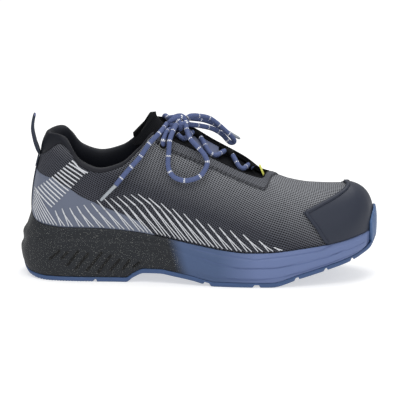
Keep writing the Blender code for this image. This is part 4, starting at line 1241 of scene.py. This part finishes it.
HEEL_STROKE = (1.3 * MM, 1.1 * MM)
HEEL_STROKES = 14
HEEL_START = ((-107.7, 103.0), (-138.2, 75.4))
HEEL_END = ((-94.0, 94.7), (-123.8, 63.0))
WRAP_STROKE = (0.9 * MM, 0.8 * MM)
WRAP_STROKES = 7
WRAP_START = ((-139.0, 76.0), (-140.4, 58.0))
WRAP_END = (-119.5, -139.0)
STROKE_FOOT = 0.02
SIDE_BACK = 0.35
SIDE_FRONT = 13.9
SIDE_TOP = 0.95
FOAM_FRONT = 18.0
WALKS = 24
WALK = 0.8
WALK_OVER = 0.02
WALK_UP = 0.002
HALVINGS = 30


@lru_cache(maxsize=None)
def skin_place(x, z):
    """Station and share of a place on the outer side, from millimetres along the shoe and above the floor.

    It starts from a guess and walks most of what is missing, again and again.
    """
    station, share = 1.0 + 12.0 * (x + 148.0) / 200.0, 0.3
    for _ in range(WALKS):
        spot = skin_point(station, share)
        over = (skin_point(station + WALK_OVER, share) - spot) / WALK_OVER
        rise = (skin_point(station, share + WALK_UP) - spot) / WALK_UP
        miss_x, miss_z = x * MM - spot.x, z * MM - spot.z
        size = over.x * rise.z - over.z * rise.x
        station += WALK * (miss_x * rise.z - miss_z * rise.x) / size
        share += WALK * (over.x * miss_z - over.z * miss_x) / size
        station = min(max(station, SIDE_BACK), SIDE_FRONT)
        share = min(max(share, 0.0), SIDE_TOP)
    return station, share


def foam_place(x):
    """The place where the skin meets the foam's rim, at a distance along the shoe in millimetres."""
    low, high = SIDE_BACK, FOAM_FRONT
    for _ in range(HALVINGS):
        middle = (low + high) / 2
        low, high = (middle, high) if skin_point(middle, STROKE_FOOT).x < x * MM else (low, middle)
    return low, STROKE_FOOT


def between(first, last, share):
    """A place on the way from the first to the last."""
    return [a + (b - a) * share for a, b in zip(first, last)]


def stroke_piece(start, end, widths, mirror):
    """One stroke of the print, straight as seen from its own side, between two stations and shares."""
    low, high = (skin_point(*place) / MM for place in (end, start))
    path = []
    for share in steps(0, 1, STRIPE_STEPS):
        station, rise = between(start, end, share)
        if 0 < share < 1:
            spot = high.lerp(low, share)
            station, rise = skin_place(round(spot.x, 3), round(spot.z, 3))
        path.append((RING - station if mirror else station, rise))
    return strip("stroke", path, steps(*widths, STRIPE_STEPS), STRIPE_OUT, print_pale, STRIPE)


print_pale = Finish("print_pale", 0.6, Specular_IOR_Level=0.3)
print_noise = print_pale.noise(400.0, 2.0)
print_pale.set("Base Color", print_noise.mixed(shade("b4b7bd"), shade("d6d8dc")))
for side in ("lateral", "medial"):
    mirror = side == "medial"
    pieces = []
    for stroke in STROKES:
        top = skin_place(stroke.top_x, stroke.top_z)
        legs = [foam_place(stroke.foot_x), foam_place(stroke.foot_x + stroke.gap)]
        fork = between(*(between(top, leg, FORK_AT) for leg in legs), 0.5)
        pieces.append(stroke_piece(top, fork, FAN_TOP, mirror))
        pieces += [stroke_piece(fork, leg, FAN_LEG, mirror) for leg in legs]
    for share in steps(0, 1, HEEL_STROKES - 1):
        top, foot = (skin_place(*between(*ends, share)) for ends in (HEEL_START, HEEL_END))
        pieces.append(stroke_piece(top, foot, HEEL_STROKE, mirror))
    for share in steps(0, 1, WRAP_STROKES)[:-1]:
        foot = foam_place(WRAP_END[0] + (WRAP_END[1] - WRAP_END[0]) * share)
        pieces.append(stroke_piece(skin_place(*between(*WRAP_START, share)), foot, WRAP_STROKE, mirror))
    joined(f"stripes_{side}", pieces, print_pale)

# Eyestay: a band of the same knit, pressed flat and fused round the throat. Two rows of stitching run along
# its edge.
EYESTAY = 0.5 * MM
STAY_OUT = 0.7 * MM
STAY_SEAMS = (1.0, 2.6)
EYESTAY_ROWS = (
    Patch(9.00, 0.91, 1.00),
    Patch(9.50, 0.86, 1.00),
    Patch(10.00, 0.85, 1.00),
    Patch(11.00, 0.83, 1.00),
    Patch(12.00, 0.80, 1.00),
    Patch(13.00, 0.735, 1.00),
    Patch(13.35, 0.745, 1.00),
    Patch(13.65, 0.775, 1.00),
    Patch(13.95, 0.83, 1.00),
    Patch(14.20, 0.89, 1.00),
    Patch(14.40, 0.95, 1.00),
    Patch(14.50, 1.00, 1.00),
)
stay = Finish("eyestay", 0.85, Specular_IOR_Level=0.2)
along, up, _ = stay.cloth()
rib = stitches(along, up, 0.45, 0.3, 0.5)
low_seam, high_seam = ((up - line).maths("ABSOLUTE") for line in STAY_SEAMS)
seams = low_seam.below(0.35, 0.2) + high_seam.below(0.3, 0.2)
stay.set("Base Color", seams.mixed(rib.mixed(shade("1a1b20"), shade("63656b")), shade("0d0e11")))
stay.bump(rib - seams, 0.25 * MM, 0.6)
stay_lines = []
for station in steps(EYESTAY_ROWS[0].away, EYESTAY_ROWS[-1].away, 70):
    low, high = patch_limits(EYESTAY_ROWS, station)
    stay_lines.append((station, steps(low, high, 8)))
lines = [[on_skin(station, share, STAY_OUT) for share in shares] for station, shares in stay_lines]
for station, shares in reversed(stay_lines[:-1]):
    lines.append([on_skin(RING - station, share, STAY_OUT) for share in shares])
eyestay = bend_grid("eyestay_band", lines, stay, EYESTAY)
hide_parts("eyestay")

# Binding: a round dark tape, sewn along the throat's edge. It hides the cut edge of the upper and the
# eyestay.
BINDING = 1.0 * MM
BINDING_END = 13.9
binding_line = [edge_point(station, 0, GAP) for station in steps(EYESTAY_ROWS[0].away, BINDING_END, 50)]
binding_line += [
    edge_point(RING - station, 0, GAP) for station in steps(BINDING_END, EYESTAY_ROWS[0].away, 50)
]
binding = close_ends(bend_grid("throat_binding", tube_lines(binding_line, BINDING, 10), lining))

# Collar: a cuff of soft foam under black satin. It is rolled over the upper's top edge, swells inside the
# wall, and stands up behind the heel as a smooth patch.
CUFF_END = 8.9
CUFF_SWELL = 0.7 * MM
PAD = 7.0 * MM
PAD_END = 2.5 * MM
PAD_DEPTH = 24.0 * MM
PAD_CLEAR = 1.0 * MM
CUFF_SEAT = 0.3 * MM
CUFF_ROUND = 0.3 * MM
CUFF_LOW = 2.0 * MM
CUFF_HIGH = 8.0 * MM
satin = Finish("satin", 0.62, Specular_IOR_Level=0.22)
satin_cloud = satin.noise(60.0, 3.0)
along, up, _ = satin.cloth()
x = satin.place()[0]
piping = up.below(4.5, 0.6) * (1 - x.below(-110.0, 8.0))
satin.set("Base Color", piping.mixed(satin_cloud.mixed(shade("07090f"), shade("10141f")), shade("1e1f25")))
fine_rib = (along + up).wave(0.9) * 2.0
satin.bump(fine_rib, 0.06 * MM, 0.3)


def cuff_line(station):
    height = section(station).cuff
    pad = PAD + (PAD_END - PAD) * blend(0.6 * CUFF_END, CUFF_END, abs(station))
    swell = CUFF_SWELL * blend(CUFF_LOW, CUFF_HIGH, height)
    inner = WALL + PAD_CLEAR
    outline = (
        (CUFF_SEAT, 0.0),
        (0.5 * height, -swell),
        (0.85 * height, CUFF_ROUND),
        (height, 0.5 * WALL),
        (height, WALL + 0.25 * pad),
        (0.7 * height, WALL + 0.75 * pad),
        (-0.15 * PAD_DEPTH, WALL + pad),
        (-0.55 * PAD_DEPTH, WALL + 0.95 * pad),
        (-0.9 * PAD_DEPTH, WALL + 0.6 * pad),
        (-PAD_DEPTH, inner + CUFF_ROUND),
        (-0.9 * PAD_DEPTH, inner),
        (-0.5 * PAD_DEPTH, inner),
        (CUFF_SEAT, inner),
    )
    points = [edge_point(station, up, -depth) for up, depth in outline]
    return smooth_route([*points, points[0]], 3)


cuff_lines = [cuff_line(station) for station in steps(-CUFF_END, CUFF_END, 150)]
collar = close_ends(bend_grid("collar_cuff", cuff_lines, satin))
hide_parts("collar")

# Tongue: soft foam between two layers of black mesh, sewn in under the throat. Its wide top stands above
# the bow and curls back at the corners.
TONGUE = 4.5 * MM
TONGUE_ROUND = 1.8 * MM
TONGUE_TUCK = 12.0 * MM
TONGUE_CLEAR = 0.7 * MM
TONGUE_CROWN = 2.0 * MM
TONGUE_SUNK = 10.6
TONGUE_SINK = 0.28
TONGUE_WIDE = 25.0 * MM
TONGUE_FRONT = 14.8
TONGUE_BACK = 9.6
TONGUE_RISE = 14.0 * MM
TONGUE_HALF = 21.5 * MM
TongueTop = namedtuple("TongueTop", "forward up half back down")
TONGUE_TOP = (
    TongueTop(-0.85, 1.00, 0.96, 1.43, 1.57),
    TongueTop(-0.82, 0.79, 0.99, 1.36, 1.55),
    TongueTop(-0.61, 0.52, 1.00, 1.07, 1.21),
    TongueTop(-0.32, 0.25, 1.01, 0.55, 0.68),
)


def tongue_line(station):
    """The tongue's section under the throat, from its outer edge to its inner one."""
    outside = -(WALL + TONGUE_CLEAR)
    other = RING - station
    sunk = blend(TONGUE_BACK, TONGUE_SUNK, station)
    tucks = [-TONGUE_TUCK * share for share in (1.0, 0.6, TONGUE_SINK * sunk)]
    lateral = [edge_point(station, tuck, outside) for tuck in tucks]
    medial = [edge_point(other, tuck, outside) for tuck in reversed(tucks)]
    crown = TONGUE_CROWN * (1 - sunk) * blend(0, TONGUE_WIDE, (medial[0] - lateral[-1]).length)
    middle = []
    for share in (0.25, 0.5, 0.75):
        point = lateral[-1].lerp(medial[0], share)
        point.z += crown * (1 - (2 * share - 1) ** 2)
        middle.append(point)
    return lateral + middle + medial


tongue_cloth = Finish("tongue_cloth", 0.92, Specular_IOR_Level=0.12)
along, up, _ = tongue_cloth.cloth()
pores = (along.wave(1.5) + up.wave(1.5)).below(0.4, 0.25)
tongue_cloth.set("Base Color", pores.mixed(shade("131418"), shade("060708")))
tongue_cloth.bump(1 - pores, 0.3 * MM, 0.7)
tongue_middle = tongue_line(TONGUE_BACK)[4]
tongue_rows = []
for row in TONGUE_TOP:
    points = []
    for index in range(9):
        share = index / 4 - 1
        forward = (row.forward - row.back * share**2) * TONGUE_RISE
        up = (row.up - row.down * share**2) * TONGUE_RISE
        side = row.half * TONGUE_HALF * math.sin(share * math.pi / 2)
        points.append(tongue_middle + Vector((forward, side, up)))
    tongue_rows.append(smooth_route(points, 4))
for station in steps(TONGUE_BACK, TONGUE_FRONT, 26):
    tongue_rows.append(smooth_route(tongue_line(station), 4))
tongue_columns = [smooth_route(column, 3) for column in zip(*tongue_rows)]
tongue = bend_grid("tongue_pad", list(zip(*tongue_columns)), tongue_cloth, TONGUE)
rim = tongue.modifiers.new("rim", "BEVEL")
rim.limit_method = "ANGLE"
rim.angle_limit = math.radians(60)
rim.width = TONGUE_ROUND
rim.segments = 3
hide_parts("tongue")

# Back tape: a narrow navy film, fused down the middle of the heel from the cuff to the foam. It covers the
# seam there.
TAPE = 0.5 * MM
TAPE_OUT = 1.0 * MM
TAPE_REACH = 0.42
tape_lines = []
for station in steps(-TAPE_REACH, TAPE_REACH, 8):
    tape_lines.append([on_skin(station, share, TAPE_OUT) for share in steps(0.01, 0.9, 30)])
tape = bend_grid("back_tape", tape_lines, navy, TAPE)

# Pull loop: a woven ribbon, stitched down the back of the heel and folded into a narrow upright loop. It is
# navy, and near its top the face that is turned to the toe is lavender.
RIBBON = 1.2 * MM
RIBBON_WIDTH = 13.0 * MM
RIBBON_TAB = 10.0 * MM
LOOP_HEIGHT = 33.0 * MM
INNER_FROM = 133.0
PULL_LOOP = (
    (-0.079, 0.121),
    (-0.148, 0.318),
    (-0.209, 0.621),
    (-0.200, 0.818),
    (-0.176, 0.955),
    (-0.150, 1.000),
    (-0.136, 0.955),
    (-0.164, 0.818),
    (-0.174, 0.615),
    (-0.112, 0.327),
    (-0.060, 0.182),
    (-0.030, 0.090),
    (-0.010, 0.0),
)


def band_lines(route, side, width, thickness):
    """Rings of points round a flat band with blunt edges, whose width lies along side."""
    lines = []
    for index, place in enumerate(route):
        ahead = route[min(index + 1, len(route) - 1)] - route[max(index - 1, 0)]
        up = side.cross(ahead).normalized() * thickness / 2
        ring = [place + side * (width * share) + up for share in steps(-0.5, 0.5, 6)]
        ring += [place + side * (width * share) - up for share in steps(0.5, -0.5, 6)]
        lines.append([*ring, ring[0]])
    return lines


ribbon = Finish("ribbon", 0.8, Specular_IOR_Level=0.3)
weft = ribbon.cloth()[0].wave(0.9) * 2.0
height = ribbon.place()[2]
facing = ribbon.start.node("ShaderNodeNewGeometry", out=1)
inner_side = (1 - height.below(INNER_FROM, 4.0)) * facing.facing_ahead()
ribbon.set("Base Color", inner_side.mixed(weft.mixed(shade("1f2430"), shade("39404f")), shade("6b6f98")))
ribbon.bump(weft, 0.1 * MM, 0.3)
tab_top = edge_point(0, 0, 0)
tab = [edge_point(0, -RIBBON_TAB * share, GAP + RIBBON / 2) for share in (1.0, 0.5, 0.0)]
free = [tab_top + Vector((forward, 0, up)) * LOOP_HEIGHT for forward, up in PULL_LOOP]
loop_lines = band_lines(smooth_route(tab + free, 6), Vector((0, 1, 0)), RIBBON_WIDTH, RIBBON)
pull_loop = close_ends(bend_grid("pull_ribbon", loop_lines, ribbon))
pull_loop.data.set_sharp_from_angle(angle=math.radians(50))
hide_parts("pull_loop")

# Eyelets: a thin ring of brushed metal at the top of each side of the eyestay, pressed in through the
# knit. The hole inside it is a flat disc of the dark lining, which paints the shade deep in the hole.
EYELET = 3.2 * MM
EYELET_WIRE = 0.4 * MM
EYELET_SHADE_THICK = 0.5 * MM
EYELET_STATION = 9.3
EYELET_DROP = 9.0 * MM
steel = Finish("steel", 0.3, 1.0)
steel_noise = steel.noise(800.0, 2.0)
steel.set("Base Color", steel_noise.mixed(shade("7c7e7a"), shade("a4a6a0")))
for name, station in (("eyelet_lateral", EYELET_STATION), ("eyelet_medial", RING - EYELET_STATION)):
    share = 1 - EYELET_DROP / section_length(station)
    centre = on_skin(station, share, 2 * GAP + EYESTAY + EYELET_WIRE)
    turn = skin_normal(station, share).to_track_quat("Z", "Y")
    circle = [Vector((math.cos(a) * EYELET, math.sin(a) * EYELET, 0)) for a in steps(0, 2 * math.pi, 36)]
    lines = []
    for spot in circle:
        radial = spot.normalized()
        ring = []
        for a in steps(0, 2 * math.pi, 10):
            off = radial * math.cos(a) + Vector((0, 0, math.sin(a)))
            ring.append(centre + turn @ (spot + off * EYELET_WIRE))
        lines.append(ring)
    ring_piece = close_ends(bend_grid(f"{name}_ring", lines, steel))
    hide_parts(name)
    # Painted shade: a dark disc inside the ring stands in for the lining's dark colour and the shade deep in the
    # hole.
    shade_disc = [[centre + turn @ spot * share for share in steps(0.02, 1, 3)] for spot in circle]
    shade_disc_piece = bend_grid(f"{name}_hole", shade_disc, lining, EYELET_SHADE_THICK)

# Crossings: one line of the same lace over the tongue, which turns inside each side of the throat. From the
# knot, a strand runs over each side and in at its eyelet, where the lace's hidden ends stop.
LACE_CLEAR = 1.2 * MM
STRAND_CLEAR = 0.9 * MM
BAR_STATIONS = (10.0, 10.5, 11.0, 11.5, 11.95, 12.4)
BAR_TURN = ((-0.12, 9.5 * MM), (0.0, 7.0 * MM), (0.12, 9.5 * MM))
FROM_KNOT_LATERAL = Vector((-24.5, -8.0, 127.0)) * MM
OVER_LATERAL = Vector((-28.6, -21.5, 126.6)) * MM
FROM_KNOT_MEDIAL = Vector((-23.0, 6.5, 128.5)) * MM
OVER_MEDIAL = Vector((-30.0, 22.5, 132.2)) * MM


def over_tongue(station, inwards):
    """A place for a lace above the tongue, at a distance inwards from the throat's side."""
    points = tongue_line(min(station, RING - station))
    side, other = (points[2], points[6]) if station < TOE else (points[6], points[2])
    return side + (other - side).normalized() * inwards + Vector((0, 0, LACE + 2 * LACE_CLEAR))


def through_eyelet(station, from_knot, over_edge):
    """The lace's way from the knot, down over the throat's edge and in at an eyelet."""
    share = 1 - EYELET_DROP / section_length(station)
    return [
        from_knot,
        over_edge,
        on_skin(station, share + 0.05, LACE + STRAND_CLEAR),
        on_skin(station, share + 0.01, 0.5 * LACE),
        on_skin(station, share - 0.01, -WALL),
    ]


bar_points = []
for number, station in enumerate(BAR_STATIONS):
    for ahead, inwards in BAR_TURN:
        here = station + ahead
        bar_points.append(over_tongue(here if number % 2 == 0 else RING - here, inwards))
strands = (
    bar_points,
    through_eyelet(EYELET_STATION, FROM_KNOT_LATERAL, OVER_LATERAL),
    through_eyelet(RING - EYELET_STATION, FROM_KNOT_MEDIAL, OVER_MEDIAL),
)
bars = joined("lace_crossings", [loose_tube(smooth_route(points, 8), LACE, cord) for points in strands], cord)
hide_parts("lace_bars")

# Keepers: short tubes of black cloth, sewn in under the throat's inner edge. The lace turns back in
# them.
KEEPER = 2.8 * MM
KEEPER_TURNS = (1, 3, 5)
keeper_pieces = []
for turn in KEEPER_TURNS:
    points = bar_points[len(BAR_TURN) * turn : len(BAR_TURN) * (turn + 1)]
    keeper_pieces.append(loose_tube(smooth_route(points, 6), KEEPER, lining))
keepers = joined("lace_keepers", keeper_pieces, lining)

# Webbing: a flat woven band, grey lavender, sewn to the tongue's middle and inner side under the upper
# crossings.
WEBBING = 1.0 * MM
WEBBING_OUT = 1.6 * MM
WEBBING_STATIONS = (10.15, 11.2)
WEBBING_LANES = slice(22, 37)
webbing_cloth = Finish("webbing", 0.85, Specular_IOR_Level=0.2)
along, across_it, _ = webbing_cloth.cloth()
webbing_weave = along.wave(1.1) + across_it.wave(1.1)
webbing_cloth.set("Base Color", webbing_weave.mixed(shade("4a5064"), shade("6f7690")))
webbing_cloth.bump(webbing_weave, 0.15 * MM, 0.5)
webbing_lines = []
for station in steps(*WEBBING_STATIONS, 14):
    row = smooth_route(tongue_line(station), 6)[WEBBING_LANES]
    webbing_lines.append([point + Vector((0, 0, WEBBING_OUT)) for point in row])
webbing = bend_grid("tongue_webbing", webbing_lines, webbing_cloth, WEBBING)

# Tag: a small tab of folded yellow cloth, sewn to the tongue at the throat's end. Its solid is shown as it
# is, in this finish.
tag_yellow = Finish("tag", 0.7)
tag_noise = tag_yellow.noise(900.0, 2.0)
tag_yellow.set("Base Color", tag_noise.mixed(shade("cfcf4c"), shade("eef07c")))
for tag_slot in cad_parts["throat_tag"].material_slots:
    tag_slot.material = tag_yellow.material
